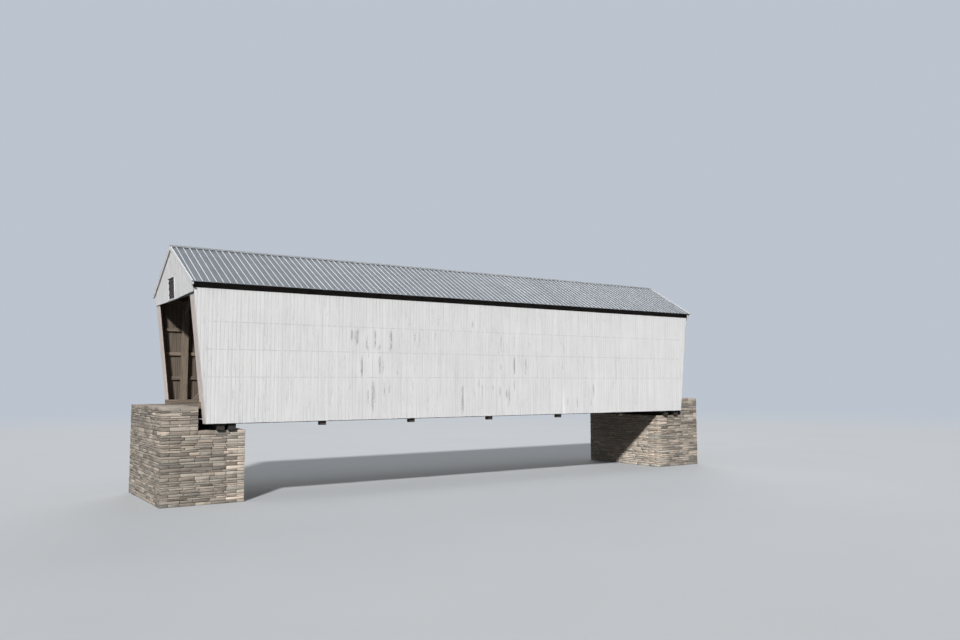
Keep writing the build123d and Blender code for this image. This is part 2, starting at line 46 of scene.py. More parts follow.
WALL_LEAN = (WALL_TOP_END - WALL_FOOT_END) / (WALL_TOP - WALL_FOOT)
WALL_OUTER = 2.56
BOARD = 0.025
NAIL_LINES = (4.144, 5.0584, 5.9728)
GABLE_FOOT = 6.845
GABLE_FOOT_RISE = 0.08
GABLE_EDGE = 2.58
GABLE_LEAN = 0.058
GABLE_FACE = 11.6708
ROOF_END = 0.08
EAVE_OUT = 2.76
EAVE_LEVEL = 7.2341
PITCH = math.atan(0.5565)
SLOPE_LENGTH = EAVE_OUT / math.cos(PITCH)
RIB_SPACING = 0.2286
PANEL = 3.6
TRUSS_SHIFT = 0.15
POSTS = np.arange(-3, 4) * PANEL + TRUSS_SHIFT
CHORD_FOOT = 2.6
CHORD_INNER = 2.1752
SEAT = 2.4
ABUTMENT_FACE = 9.79
BACKWALL_FACE = 11.3496
ABUTMENT_BACK = 12.4996
ABUTMENT_HALF = 2.36
DECK_TOP = 3.185
DECK_HALF = 2.23
CURB_TOP = 3.335
WINDOW_MIDDLE = 0.15
WINDOW_HALF = 0.425
WINDOW_FOOT = 6.905
WINDOW_TOP = 7.645
WINDOW_FRAME = 0.035

# Sizes of the pieces made here, in metres
COURSES = (0.055, 0.12)
SLAB = 0.14
STONE_DEPTH = 0.26
CORNER_STONE = 0.62
NAIL_HEAD = 0.0042


# Meshes

def make_piece(name, points, quads, paint, values=None, crease=40.0):
    """One mesh object at the origin, from points and four-cornered faces.

    Six times the signed volume is the sum over faces of a.(b x c) + a.(c x d). Where it is
    negative the faces point inwards, and each is turned round.
    """
    points = np.asarray(points, float).reshape(-1, 3)
    a, b, c, d = (points[quads[:, i]] for i in range(4))
    if np.sum(a * np.cross(b, c)) + np.sum(a * np.cross(c, d)) < 0:
        quads = quads[:, ::-1]
    mesh = bpy.data.meshes.new(name)
    mesh.from_pydata(points.tolist(), [], quads.tolist())
    for label, numbers in (values or {}).items():
        layer = mesh.attributes.new(label, "FLOAT", "POINT")
        layer.data.foreach_set("value", np.asarray(numbers, np.float32).ravel())
    mesh.shade_smooth()
    mesh.set_sharp_from_angle(angle=math.radians(crease))
    mesh.materials.append(paint)
    piece = bpy.data.objects.new(name, mesh)
    bpy.context.scene.collection.objects.link(piece)
    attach(piece, "root")
    return piece


def prism_faces(count, stations, ring):
    """Faces of many closed prisms whose points are numbered as (prism, station, place on the ring).

    A side joins each point to the next on its ring and to the same two at the next station. Each
    end is closed by quads between the ring's halves, place i facing place ring - 1 - i.
    """
    index = np.arange(count * stations * ring).reshape(count, stations, ring)
    turned = np.roll(index, -1, axis=2)
    sides = np.stack([index[:, :-1], turned[:, :-1], turned[:, 1:], index[:, 1:]], -1)
    i = np.arange(ring // 2 - 1)
    places = np.stack([i, i + 1, ring - 2 - i, ring - 1 - i], -1)
    first, last = index[:, 0][:, places[:, ::-1]], index[:, -1][:, places]
    return np.concatenate([sides.reshape(-1, 4), first.reshape(-1, 4), last.reshape(-1, 4)])


def prism_piece(name, points, paint, values=None):
    """Closed prisms, from points numbered as prism_faces counts them."""
    return make_piece(name, points, prism_faces(*points.shape[:3]), paint, values)


def at(x, y, z):
    """Points from their three places, each an array or one number for all."""
    return np.stack(np.broadcast_arrays(x, y, z), -1)


def boards(left, right, low, high, fractions, thickness, seed, gap=0.0024, bow=0.003):
    """Points of a row of boards, numbered (board, station, ring), as (across, outwards, along).

    The section is a rectangle with its two outer edges eased by 3.5 mm and its outer face cupped a
    little. It runs from low to high, which are numbers, one a board, or functions of the place
    across, so an end can be cut on a slant. Each board bows by a half sine of its own size, and
    its foot is a few millimetres off the line.
    """
    rng = np.random.default_rng(seed)
    n, ease = len(left), 0.0035
    side = (right - left) / 2 - rng.uniform(0.1, 0.8, n) * gap / 2
    inner, middle = side - ease, side / 3
    centre = ((left + right) / 2)[:, None]
    across = centre + np.stack([-side, -side, -inner, -middle, middle, inner, side, side], -1)
    face = thickness / 2 + rng.uniform(-0.0012, 0.0004, n)
    cup = face + rng.uniform(-0.0011, 0.0011, n)
    back = np.full(n, -thickness / 2)
    out = np.stack([back, face - ease, face, cup, cup, face, face - ease, back], -1)
    foot, top = (
        end(across) if callable(end) else np.broadcast_to(np.reshape(end, (-1, 1)), across.shape)
        for end in (low, high))
    foot = foot - rng.uniform(-0.003, 0.003, (n, 1)) * (bow > 0)
    along = foot[:, None] + fractions[None, :, None] * (top - foot)[:, None]
    bend = rng.uniform(-bow, bow * 0.4, (n, 1)) * np.sin(math.pi * fractions)
    twist = rng.uniform(-0.008, 0.008, (n, 1)) * (fractions - 0.5) * (bow > 0)
    outwards = out[:, None] + bend[:, :, None] + twist[:, :, None] * (across - centre)[:, None]
    return at(across[:, None], outwards, along)


def one_each(rng, low, high, shape):
    """One random number a board, the same at all its points."""
    return np.broadcast_to(rng.uniform(low, high, (shape[0], 1, 1)), shape)


def board_piece(name, points, paint, slot, seed, **more):
    """Boards with values for their paint.

    Each board has a tone and a shift of the pattern. The edge is 1 on the section's corners and 0
    on its face, and inside is 1 on its back.
    """
    shape = points.shape[:3]
    rng = np.random.default_rng(seed)
    tone, shift = one_each(rng, -1, 1, shape), one_each(rng, 0, 40, shape)
    edge = np.broadcast_to([1, 1, 1, 0, 0, 1, 1, 1], shape)
    inside = np.broadcast_to([1, 0, 0, 0, 0, 0, 0, 1], shape)
    values = {"tone": tone, "shift": shift, "edge": edge, "inside": inside, **more}
    return prism_piece(name, points, paint, values)


def turned(centres, axis, profile, sides=6):
    """Rings of points about an axis at each centre.

    Height h and radius r of the profile give centre + h axis + r (cos t u + sin t v), where u and v
    are square to the axis.
    """
    centres = np.asarray(centres, float)
    axis = np.broadcast_to(np.asarray(axis, float), centres.shape)
    axis = axis / np.linalg.norm(axis, axis=1, keepdims=True)
    u = np.cross(axis, [0.36, 0.48, 0.8])
    u /= np.linalg.norm(u, axis=1, keepdims=True)
    v = np.cross(axis, u)
    height, radius = np.array(profile, float).T
    t = (np.arange(sides) + 0.5) * 2 * math.pi / sides
    ring = np.cos(t)[None, :, None] * u[:, None] + np.sin(t)[None, :, None] * v[:, None]
    return (centres[:, None, None] + height[None, :, None, None] * axis[:, None, None]
            + radius[None, :, None, None] * ring[:, None])


def turned_piece(name, centres, axis, profile, paint):
    """Nails, screws and the like: the same turned form at each centre."""
    return prism_piece(name, turned(centres, axis, profile), paint)


def block_shell(cells):
    """Whole-number points on the shell of a block with so many cells each way, and its faces."""
    grid = np.stack(np.meshgrid(*[np.arange(cells + 1)] * 3, indexing="ij"), -1)
    shell = ((grid == 0) | (grid == cells)).any(-1)
    index = np.full(shell.shape, -1)
    index[shell] = np.arange(shell.sum())
    faces = []
    for axis in range(3):
        for end in (0, -1):
            layer = np.take(index, end, axis=axis)
            quads = np.stack([layer[:-1, :-1], layer[1:, :-1], layer[1:, 1:], layer[:-1, 1:]], -1)
            outwards = (end == -1) != (axis == 1)
            faces.append(quads.reshape(-1, 4)[:, ::1 if outwards else -1])
    return grid[shell], np.concatenate(faces)


def stone_blocks(low, high, seed):
    """Points of dressed stones between their low and high corners, and the faces.

    The shell's inner lines stand 14 mm in from the block's edges, its edges and corners are drawn
    in by a share of that, and every point is then moved at random by up to 7 mm.
    """
    rng = np.random.default_rng(seed)
    cells, rough = 3, 0.007
    grid, faces = block_shell(cells)
    n = len(low)
    middle, half = (low + high) / 2, (high - low) / 2
    ease = np.minimum(0.014, half * 0.3)
    at_end = (grid == 0) | (grid == cells)
    sign = np.sign(grid - cells / 2)
    inner = np.abs(grid - cells / 2) / (cells / 2 - 1 + 1e-9)
    inner = np.where(at_end, 1.0, np.minimum(inner, 1.0))
    reach = half[:, None] - np.where(at_end, 0.0, 1.0) * ease[:, None]
    drawn = np.array([0, 0, 0.32, 0.5])[at_end.sum(-1)][:, None] * at_end
    offset = sign * (inner * reach - drawn * ease[:, None])
    points = middle[:, None] + offset + rng.uniform(-rough, rough, (n, len(grid), 3))
    quads = (faces[None] + (np.arange(n) * len(grid))[:, None, None]).reshape(-1, 4)
    return points, quads


# Shader helpers

def place(tree, kind, values=None, **settings):
    """Adds a node with these settings, and links or sets its inputs by name or number."""
    made = tree.nodes.new(kind)
    for label, value in settings.items():
        setattr(made, label, value)
    for label, value in (values or {}).items():
        if isinstance(value, bpy.types.NodeSocket):
            tree.links.new(value, made.inputs[label])
        else:
            made.inputs[label].default_value = value
    return made


def calc(tree, operation, *values):
    return place(tree, "ShaderNodeMath", dict(enumerate(values)), operation=operation).outputs[0]


def times(tree, first, second):
    return calc(tree, "MULTIPLY", first, second)


def distance(tree, value, middle):
    """How far the value is from the middle, to either side."""
    return calc(tree, "ABSOLUTE", calc(tree, "SUBTRACT", value, middle))


def joined(tree, *parts):
    """A vector from its three parts."""
    return place(tree, "ShaderNodeCombineXYZ", dict(enumerate(parts))).outputs[0]


def scaled(tree, vector, stretch):
    return place(tree, "ShaderNodeVectorMath", {0: vector, 1: stretch},
                 operation="MULTIPLY").outputs[0]


def shifted(tree, vector, amount):
    return place(tree, "ShaderNodeVectorMath", {0: vector, 1: amount}, operation="ADD").outputs[0]


def cloud(tree, vector, stretch, detail=2.0, roughness=0.5, distortion=0.0):
    """Noise from 0 to 1 with so many cycles a metre along each axis."""
    return place(tree, "ShaderNodeTexNoise", {
        "Vector": scaled(tree, vector, stretch), "Scale": 1.0, "Detail": detail,
        "Roughness": roughness, "Distortion": distortion}).outputs[0]


def span(tree, value, low, high, to_low=0.0, to_high=1.0, soft=True):
    """The value between low and high, carried to another range and held at its ends."""
    return place(tree, "ShaderNodeMapRange", {0: value, 1: low, 2: high, 3: to_low, 4: to_high},
                 interpolation_type="SMOOTHSTEP" if soft else "LINEAR", clamp=True).outputs[0]


def swing(tree, noise, low, high):
    """Noise, which keeps mostly between 0.3 and 0.7, carried evenly to another range."""
    return span(tree, noise, 0.3, 0.7, low, high, soft=False)


def blended(tree, factor, first, second, mode="MIX"):
    first, second = (
        c if isinstance(c, bpy.types.NodeSocket) else (*c, 1.0) for c in (first, second))
    return place(tree, "ShaderNodeMix", {0: factor, 6: first, 7: second}, data_type="RGBA",
                 blend_type=mode).outputs[2]


def toned(tree, colour, value):
    """The colour times a value."""
    shade = place(tree, "ShaderNodeCombineColor", {0: value, 1: value, 2: value}).outputs[0]
    return blended(tree, 1.0, colour, shade, "MULTIPLY")


def attribute(tree, label):
    return place(tree, "ShaderNodeAttribute", attribute_name=label).outputs["Fac"]


def axes(tree, vector):
    return place(tree, "ShaderNodeSeparateXYZ", {0: vector}).outputs


def position(tree):
    return place(tree, "ShaderNodeTexCoord").outputs["Object"]


def own_pattern(tree, where):
    """The place moved by the board's own shift, so that no two boards carry the same pattern."""
    shift = attribute(tree, "shift")
    return shifted(tree, where, joined(tree, shift, shift, shift))


def nearness(tree, value, period):
    """Distance to the nearest whole multiple of the period, as a share of it, from 0 to 0.5."""
    return calc(tree, "PINGPONG", calc(tree, "DIVIDE", value, period), 0.5)


def shader_material(name, roughness, metallic=0.0):
    made = bpy.data.materials.new(name)
    made.use_nodes = True
    shader = made.node_tree.nodes["Principled BSDF"]
    shader.inputs["Roughness"].default_value = roughness
    shader.inputs["Metallic"].default_value = metallic
    return made, made.node_tree, shader


def surface(tree, shader, colour, roughness, height, depth, strength):
    bump = place(tree, "ShaderNodeBump", {
        "Height": height, "Distance": depth, "Strength": strength}).outputs[0]
    for label, value in (("Base Color", colour), ("Roughness", roughness), ("Normal", bump)):
        tree.links.new(value, shader.inputs[label])


def effect(name, inputs, outputs, recipe):
    """A shader node group with named inputs, each a (name, kind, value), and outputs.

    The recipe is given the tree and the inputs, and gives the outputs in their order.
    """
    tree = bpy.data.node_groups.new(name, "ShaderNodeTree")
    for label, kind, value in inputs:
        socket = tree.interface.new_socket(label, in_out="INPUT", socket_type=f"NodeSocket{kind}")
        if value is not None:
            socket.default_value = value
    for label in outputs:
        tree.interface.new_socket(label, in_out="OUTPUT", socket_type="NodeSocketFloat")
    given = tree.nodes.new("NodeGroupInput").outputs[:len(inputs)]
    for value, socket in zip(recipe(tree, *given), tree.nodes.new("NodeGroupOutput").inputs):
        tree.links.new(value, socket)
    return tree


def use(tree, group, values):
    return place(tree, "ShaderNodeGroup", values, node_tree=group).outputs


# Shared effects

def paint_weather(tree, vector, wear, edge, nail):
    """Old paint on upright boards: broken grey streaks, flakes of bare wood and brush grain."""
    fine = cloud(tree, vector, (58, 58, 2.2), 4.0, 0.62)
    broad = cloud(tree, vector, (11, 11, 1.6), 2.0)
    dashes = cloud(tree, vector, (70, 70, 9), 3.0, 0.6)
    mixed = calc(tree, "MULTIPLY_ADD", broad, 0.26, times(tree, dashes, 0.32))
    mixed = calc(tree, "MULTIPLY_ADD", fine, 0.42, mixed)
    brink = calc(tree, "SUBTRACT", 0.595, times(tree, wear, 0.155))
    cover = span(tree, calc(tree, "SUBTRACT", mixed, brink), -0.03, 0.05)
    grey = times(tree, cover, calc(tree, "MULTIPLY_ADD", wear, 0.85, 0.1))
    patchy = span(tree, cloud(tree, vector, (4, 4, 0.8), 3.0, 0.6), 0.34, 0.66, 0.05, 0.5)
    dirt = times(tree, calc(tree, "POWER", edge, 4.5), patchy)
    rusty = span(tree, cloud(tree, vector, (9, 9, 4)), 0.34, 0.62, 0.08, 0.5)
    nails = times(tree, nail, rusty)
    grey = calc(tree, "MAXIMUM", grey, calc(tree, "MAXIMUM", dirt, nails))
    flake = span(tree, cloud(tree, vector, (70, 70, 9), 4.0, 0.65), 0.6, 0.64)
    bare = times(tree, flake, span(tree, wear, 0.45, 1.0, 0.0, 0.75))
    lines = cloud(tree, vector, (34, 34, 0.45), 3.0, 0.62)
    ridges = cloud(tree, vector, (150, 150, 5), 3.0, 0.6)
    height = calc(tree, "SUBTRACT", ridges, times(tree, bare, 0.6))
    return grey, times(tree, bare, cover), lines, height


def timber_grain(tree, vector):
    """Sawn timber whose grain runs along X: year lines, fibres and drying cracks."""
    years = cloud(tree, vector, (0.9, 21, 21), 4.0, 0.62, 0.35)
    fibres = cloud(tree, vector, (5, 190, 190), 3.0, 0.6)
    saw = cloud(tree, vector, (95, 4, 4), 1.0)
    crack = span(tree, cloud(tree, vector, (1.5, 52, 52), 2.0, 0.5), 0.655, 0.70)
    shade = calc(tree, "MULTIPLY_ADD", years, 0.62, times(tree, fibres, 0.38))
    rough = calc(tree, "MULTIPLY_ADD", saw, 0.35, calc(tree, "MULTIPLY_ADD", fibres, 0.5, years))
    return shade, crack, calc(tree, "SUBTRACT", rough, crack)


def speckle(tree, vector, size):
    """Three sizes of mottling, for stone, mortar, metal and rust: broad patches, spots and grit."""
    sized = place(tree, "ShaderNodeVectorMath", {0: vector, 3: size}, operation="SCALE").outputs[0]
    return [cloud(tree, sized, (cycles,) * 3, detail, 0.6)
            for cycles, detail in ((1.7, 5.0), (14, 4.0), (120, 3.0))]


PAINT_WEATHER = effect("paint_weather", [
    ("Vector", "Vector", None), ("Wear", "Float", 0.0), ("Edge", "Float", 0.0),
    ("Nail line", "Float", 0.0)], ["Grey", "Bare", "Lines", "Height"], paint_weather)
TIMBER_GRAIN = effect("timber_grain", [("Vector", "Vector", None)], ["Shade", "Crack", "Height"],
                      timber_grain)
SPECKLE = effect("speckle", [("Vector", "Vector", None), ("Size", "Float", 1.0)],
                 ["Patches", "Spots", "Grit"], speckle)


def speckled(tree, vector, size=1.0):
    """Patches, spots and grit, which are finer as the size number goes up."""
    return use(tree, SPECKLE, {"Vector": vector, "Size": size})


# Finishes

def white_paint(name, colour=(0.775, 0.769, 0.766), wear=None):
    """White paint gone chalky, on boards that carry tone, shift, edge, inside, wear and nail_line.

    The boards' backs are bare.
    """
    made, tree, shader = shader_material(name, 0.6)
    where = position(tree)
    wear = attribute(tree, "wear") if wear is None else wear
    grey, bare, lines, height = use(tree, PAINT_WEATHER, {
        "Vector": own_pattern(tree, where), "Wear": wear, "Edge": attribute(tree, "edge"),
        "Nail line": attribute(tree, "nail_line")})
    tone = calc(tree, "MULTIPLY_ADD", attribute(tree, "tone"), 0.026, 1.0)
    patches = swing(tree, cloud(tree, where, (0.55, 0.55, 0.9), 5.0, 0.6), 0.965, 1.03)
    run_marks = swing(tree, lines, 0.915, 1.07)
    white = toned(tree, colour, times(tree, times(tree, tone, patches), run_marks))
    soiled = blended(tree, grey, white, (0.31, 0.312, 0.31))
    painted = blended(tree, bare, soiled, (0.26, 0.245, 0.22))
    raw = blended(tree, span(tree, lines, 0.35, 0.65), (0.085, 0.067, 0.05), (0.18, 0.145, 0.11))
    final = blended(tree, span(tree, attribute(tree, "inside"), 0.9, 0.96), painted, raw)
    rough = span(tree, grey, 0.0, 1.0, 0.58, 0.85)
    surface(tree, shader, final, rough, height, 0.0012, 0.55)
    return made


def sawn_timber(name, grain, tones, snap, fold=None, shade_below=None):
    """Bare timber in two tones with its grain along the direction `grain`, each stick its own.

    The stick is told by its place, rounded to `snap` metres along each axis where that isn't 0.
    Sticks that slope both ways have a fold, an axis number and a middle m: beyond the middle the
    place p on that axis counts as m - |p - m|. Below the given level the timber is darker, painted
    shade on the post feet that stand under the walls.
    """
    made, tree, shader = shader_material(name, 0.8)
    light, dark = tones
    where = folded = position(tree)
    if fold:
        axis, middle = fold
        parts = list(axes(tree, where))
        parts[axis] = calc(tree, "SUBTRACT", middle, distance(tree, parts[axis], middle))
        folded = joined(tree, *parts)
    turn = Vector(grain).normalized().rotation_difference(Vector((1, 0, 0))).to_euler()
    along = place(tree, "ShaderNodeMapping", {"Vector": folded, "Rotation": turn},
                  vector_type="POINT").outputs[0]
    keys = [calc(tree, "ROUND", calc(tree, "DIVIDE", axis, step)) if step else 0.0
            for axis, step in zip(axes(tree, where), snap)]
    stick = place(tree, "ShaderNodeTexWhiteNoise", {"Vector": joined(tree, *keys)},
                  noise_dimensions="3D").outputs
    moved = shifted(tree, along, scaled(tree, stick["Color"], (9, 9, 9)))
    shade, crack, height = use(tree, TIMBER_GRAIN, {"Vector": moved})
    patches, spots, _ = speckled(tree, where)
    colour = blended(tree, span(tree, shade, 0.34, 0.66), dark, light)
    colour = toned(tree, colour, span(tree, stick["Value"], 0, 1, 0.8, 1.16, False))
    colour = toned(tree, colour, swing(tree, patches, 0.82, 1.12))
    colour = blended(tree, times(tree, crack, 0.75), colour, [c * 0.25 for c in dark])
    # Painted shade: the timber is darker below this level, where the post feet stand under the
    # walls
    if shade_below is not None:
        colour = toned(tree, colour, span(tree, axes(tree, where)[2], shade_below, shade_below + 0.1, 0.42, 1.0))
    rough = span(tree, spots, 0.3, 0.7, 0.72, 0.9)
    surface(tree, shader, colour, rough, height, 0.0025, 0.6)
    return made


def ribbed_metal(name):
    """Dull galvanised sheet with a painted highlight on the ribs, and run marks down the slope.

    Each sheet is four ribs wide and has its own tone and a lap line at its edge. Each pan has two
    low stiffening ribs. The roof's colour is darker towards its left end, a painted change of
    sheen.
    """
    made, tree, shader = shader_material(name, 0.5, 0.3)
    where = position(tree)
    x = axes(tree, where)[0]
    sheet_width = RIB_SPACING * 4
    # Where the ribs stand: this mask raises their bump and also carries their painted highlight
    rib_and_highlight = span(tree, nearness(tree, x, RIB_SPACING), 0.052, 0.088, 1.0, 0.0)
    number = calc(tree, "FLOOR", calc(tree, "DIVIDE", calc(tree, "ADD", x, 0.02), sheet_width))
    sheet = place(tree, "ShaderNodeTexWhiteNoise", {"W": number},
                  noise_dimensions="1D").outputs["Value"]
    patches, spots, grit = speckled(tree, where, 1.3)
    runs = cloud(tree, where, (38, 1.3, 1.3), 3.0, 0.6)
    tone = calc(tree, "ADD", swing(tree, runs, -0.09, 0.08), swing(tree, patches, -0.09, 0.08))
    tone = calc(tree, "ADD", tone, span(tree, sheet, 0, 1, -0.05, 0.05, False))
    # Painted sheen: the colour darkens towards the roof's left end
    tone = calc(tree, "ADD", tone, span(tree, x, -13, 1, 0.9, 1.0, False))
    pan = toned(tree, blended(tree, spots, (0.16, 0.177, 0.196), (0.195, 0.211, 0.231)), tone)
    # Painted highlight: the ribs' colour is far lighter than the pans', as sunlit ribs look
    bright = toned(tree, blended(tree, spots, (0.69, 0.705, 0.72), (0.76, 0.775, 0.79)), tone)
    colour = blended(tree, rib_and_highlight, pan, bright)
    from_lap = distance(tree, calc(tree, "WRAP", x, sheet_width, 0.0), 0.027)
    lap = span(tree, from_lap, 0.0012, 0.003, 0.6, 0.0)
    colour = blended(tree, lap, colour, (0.09, 0.095, 0.1))
    rust = times(tree, span(tree, spots, 0.63, 0.72), span(tree, runs, 0.5, 0.62, 0.0, 0.35))
    colour = blended(tree, rust, colour, (0.24, 0.15, 0.09))
    low_rib = span(tree, nearness(tree, x, RIB_SPACING / 3), 0.05, 0.13, 1.0, 0.0)
    height = calc(tree, "MULTIPLY_ADD", low_rib, calc(tree, "MULTIPLY_ADD", rib_and_highlight, -0.5, 0.5),
                  times(tree, grit, 0.06))
    surface(tree, shader, colour, span(tree, runs, 0.3, 0.7, 0.46, 0.64), height, 0.003, 0.6)
    return made


def folded_metal(name, dull, bright):
    """Plain folded sheet with a little chalking and a few rust spots."""
    made, tree, shader = shader_material(name, 0.5, 0.1)
    patches, spots, grit = speckled(tree, position(tree), 2.0)
    colour = blended(tree, span(tree, patches, 0.35, 0.65), dull, bright)
    colour = blended(tree, span(tree, spots, 0.66, 0.74, 0.0, 0.5), colour, (0.26, 0.17, 0.11))
    surface(tree, shader, colour, span(tree, spots, 0.3, 0.7, 0.42, 0.6), grit, 0.0008, 0.4)
    return made


def bedded_stone(name):
    """Limestone split along its beds, grey to tan by block, with bed lines and dark patches."""
    made, tree, shader = shader_material(name, 0.9)
    where = position(tree)
    tone, hue = attribute(tree, "tone"), attribute(tree, "hue")
    moved = shifted(tree, where, joined(tree, hue, hue, tone))
    patches, spots, grit = speckled(tree, moved, 1.6)
    beds = cloud(tree, moved, (2.2, 2.2, 55), 4.0, 0.62, 0.25)
    colour = blended(tree, hue, (0.365, 0.338, 0.293), (0.50, 0.415, 0.337))
    colour = toned(tree, colour, span(tree, tone, -1, 3, 0.5, 2.0, False))
    colour = toned(tree, colour, swing(tree, beds, 0.8, 1.14))
    colour = toned(tree, colour, swing(tree, spots, 0.84, 1.12))
    dark = span(tree, patches, 0.54, 0.72, 0.0, 0.5)
    colour = blended(tree, dark, colour, (0.15, 0.135, 0.115))
    pale = span(tree, spots, 0.62, 0.7, 0.0, 0.35)
    colour = blended(tree, pale, colour, (0.52, 0.50, 0.44))
    height = calc(tree, "MULTIPLY_ADD", grit, 0.25, calc(tree, "MULTIPLY_ADD", beds, 0.8, spots))
    surface(tree, shader, colour, span(tree, spots, 0.3, 0.7, 0.82, 0.96), height, 0.012, 0.7)
    return made


def dark_joint_core(name):
    """Rubble behind the stones, mottled and gritty, coloured dark: painted shade in the open
    joints.
    """
    made, tree, shader = shader_material(name, 0.95)
    patches, spots, grit = speckled(tree, position(tree), 1.8)
    dark, light = (0.085, 0.075, 0.065), (0.16, 0.14, 0.12)
    colour = blended(tree, span(tree, patches, 0.35, 0.65), dark, light)
    colour = toned(tree, colour, swing(tree, grit, 0.8, 1.15))
    surface(tree, shader, colour, span(tree, spots, 0.3, 0.7, 0.9, 1.0),
            calc(tree, "ADD", spots, grit), 0.01, 0.7)
    return made


def worn_planks(name):
    """Floor planks, paler along the two wheel tracks, dark between planks and at their ends."""
    made, tree, shader = shader_material(name, 0.75)
    where = position(tree)
    shade, crack, height = use(tree, TIMBER_GRAIN, {"Vector": own_pattern(tree, where)})
    patches, spots, _ = speckled(tree, where)
    colour = blended(tree, span(tree, shade, 0.35, 0.66), (0.14, 0.115, 0.09), (0.30, 0.26, 0.21))
    colour = toned(tree, colour, calc(tree, "MULTIPLY_ADD", attribute(tree, "tone"), 0.14, 1.0))
    from_track = distance(tree, calc(tree, "ABSOLUTE", axes(tree, where)[1]), 0.78)
    track = span(tree, from_track, 0.12, 0.42, 0.38, 0.0)
    worn = times(tree, track, span(tree, patches, 0.35, 0.6, 0.5, 1.0))
    colour = blended(tree, worn, colour, (0.40, 0.36, 0.30))
    dirt = times(tree, calc(tree, "POWER", attribute(tree, "edge"), 5.0), 0.55)
    dark = calc(tree, "MAXIMUM", dirt, times(tree, crack, 0.7))
    colour = blended(tree, dark, colour, (0.05, 0.042, 0.034))
    surface(tree, shader, colour, span(tree, spots, 0.3, 0.7, 0.66, 0.88), height, 0.003, 0.6)
    return made


def rough_iron(name, bright, rusty, metallic):
    """Metal of nails, bolts and screws, rusty in spots."""
    made, tree, shader = shader_material(name, 0.5, metallic)
    patches, spots, grit = speckled(tree, position(tree), 6.0)
    colour = blended(tree, span(tree, spots, 0.42, 0.6), bright, rusty)
    surface(tree, shader, colour, span(tree, patches, 0.3, 0.7, 0.4, 0.75), grit, 0.0008, 0.6)
    return made


PAINT = white_paint("white_wall_paint")
TRIM_PAINT = white_paint("white_trim_paint", (0.775, 0.769, 0.76), 0.15)
# The jambs' white is darker and pinkish
JAMB_PAINT = white_paint("pinkish_jamb_paint", (0.66, 0.58, 0.54))
# Painted shade: the window's laths are near-black, like the dark opening behind them
SHADED_LATH_PAINT = white_paint("shade_dark_lath_paint", (0.112, 0.1, 0.106), 0.6)
METAL = ribbed_metal("roof_sheet_metal")
FLASHING = folded_metal("rake_flashing_metal", (0.72, 0.72, 0.715), (0.78, 0.78, 0.775))
CAP_METAL = folded_metal("ridge_cap_metal", (0.19, 0.197, 0.204), (0.25, 0.257, 0.265))
STONE = bedded_stone("bedded_limestone")
JOINT_SHADE_CORE = dark_joint_core("dark_joint_core")
PLANKS = worn_planks("worn_floor_planks")
SCREW_METAL = rough_iron("roof_screws", (0.42, 0.43, 0.45), (0.22, 0.2, 0.18), 0.6)
BOLT_IRON = rough_iron("bolt_iron", (0.09, 0.085, 0.08), (0.16, 0.085, 0.05), 0.5)

# Each a light and a dark colour
WOOD = (0.27, 0.215, 0.16), (0.125, 0.095, 0.07)
# Painted shade: darker wood for the chords, purlins, rafters and ridge board in the eaves' shade
SHADE_DARK_WOOD = (0.08, 0.068, 0.057), (0.036, 0.03, 0.025)
# Painted shade: near-black wood for the bed timbers and gable sills, whose ends show only shade
SHADE_BLACK_WOOD = (0.05, 0.043, 0.037), (0.022, 0.019, 0.016)

# The direction of the grain, the wood, the places' step, and the fold or painted-shade level if any
TIMBERS = {
    "along": ((1, 0, 0), WOOD, (0, 0.11, 0.21)),
    "eave": ((1, 0, 0), SHADE_DARK_WOOD, (0, 0.11, 0.21)),
    "across": ((0, 1, 0), WOOD, (0.45, 0, 0.6)),
    "shade_black": ((0, 1, 0), SHADE_BLACK_WOOD, (0.5, 0, 0.6)),
    "upright": ((0, 0, 1), WOOD, (PANEL / 2, 3, 0), None, CHORD_FOOT),
    "brace": ((3.28, 0, 4.0), WOOD, (PANEL, 3, 0), (0, TRUSS_SHIFT)),
    "knee_brace": ((0, 1, 1), WOOD, (PANEL / 2, 3, 0), (1, 0.0)),
    "rafter_front": ((0, math.cos(PITCH), math.sin(PITCH)), SHADE_DARK_WOOD, (0.3, 0, 0)),
    "rafter_back": ((0, -math.cos(PITCH), math.sin(PITCH)), SHADE_DARK_WOOD, (0.3, 0, 0)),
    "lateral_one": ((3.3, 4.3, 0), WOOD, (PANEL, 0, 0)),
    "lateral_other": ((3.3, -4.3, 0), WOOD, (PANEL, 0, 0)),
}
TIMBER = {word: sawn_timber(f"timber_{word}", *recipe) for word, recipe in TIMBERS.items()}


def finish_nodes():
    """Every CAD node that stays gets its finish, with the grain along its sticks."""
    for finish, names in (
            (TIMBER["along"], "front_girts back_girts curbs"),
            (TIMBER["eave"], "front_bottom_chord back_bottom_chord front_top_chord back_top_chord "
                             "front_purlins back_purlins ridge_board"),
            (TIMBER["across"], "tie_beams floor_beams"),
            (TIMBER["shade_black"], "left_bed_timbers right_bed_timbers left_gable_sill "
                               "right_gable_sill"),
            (TIMBER["upright"], "front_posts back_posts left_portal_studs right_portal_studs"),
            (TIMBER["brace"], "front_braces back_braces"),
            (TIMBER["knee_brace"], "knee_braces"),
            (TIMBER["rafter_front"], "front_rafters"),
            (TIMBER["rafter_back"], "back_rafters"),
            (TIMBER["lateral_one"], "lower_lateral_braces upper_lateral_braces"),
            (TIMBER["lateral_other"], "lower_lateral_counters upper_lateral_counters"),
            (METAL, "front_roof back_roof"),
            (CAP_METAL, "ridge_cap"),
            (TRIM_PAINT, "left_rake_boards right_rake_boards left_window_frame "
                         "right_window_frame")):
        for name in names.split():
            nodes[name].data.materials.clear()
            nodes[name].data.materials.append(finish)


# Side walls

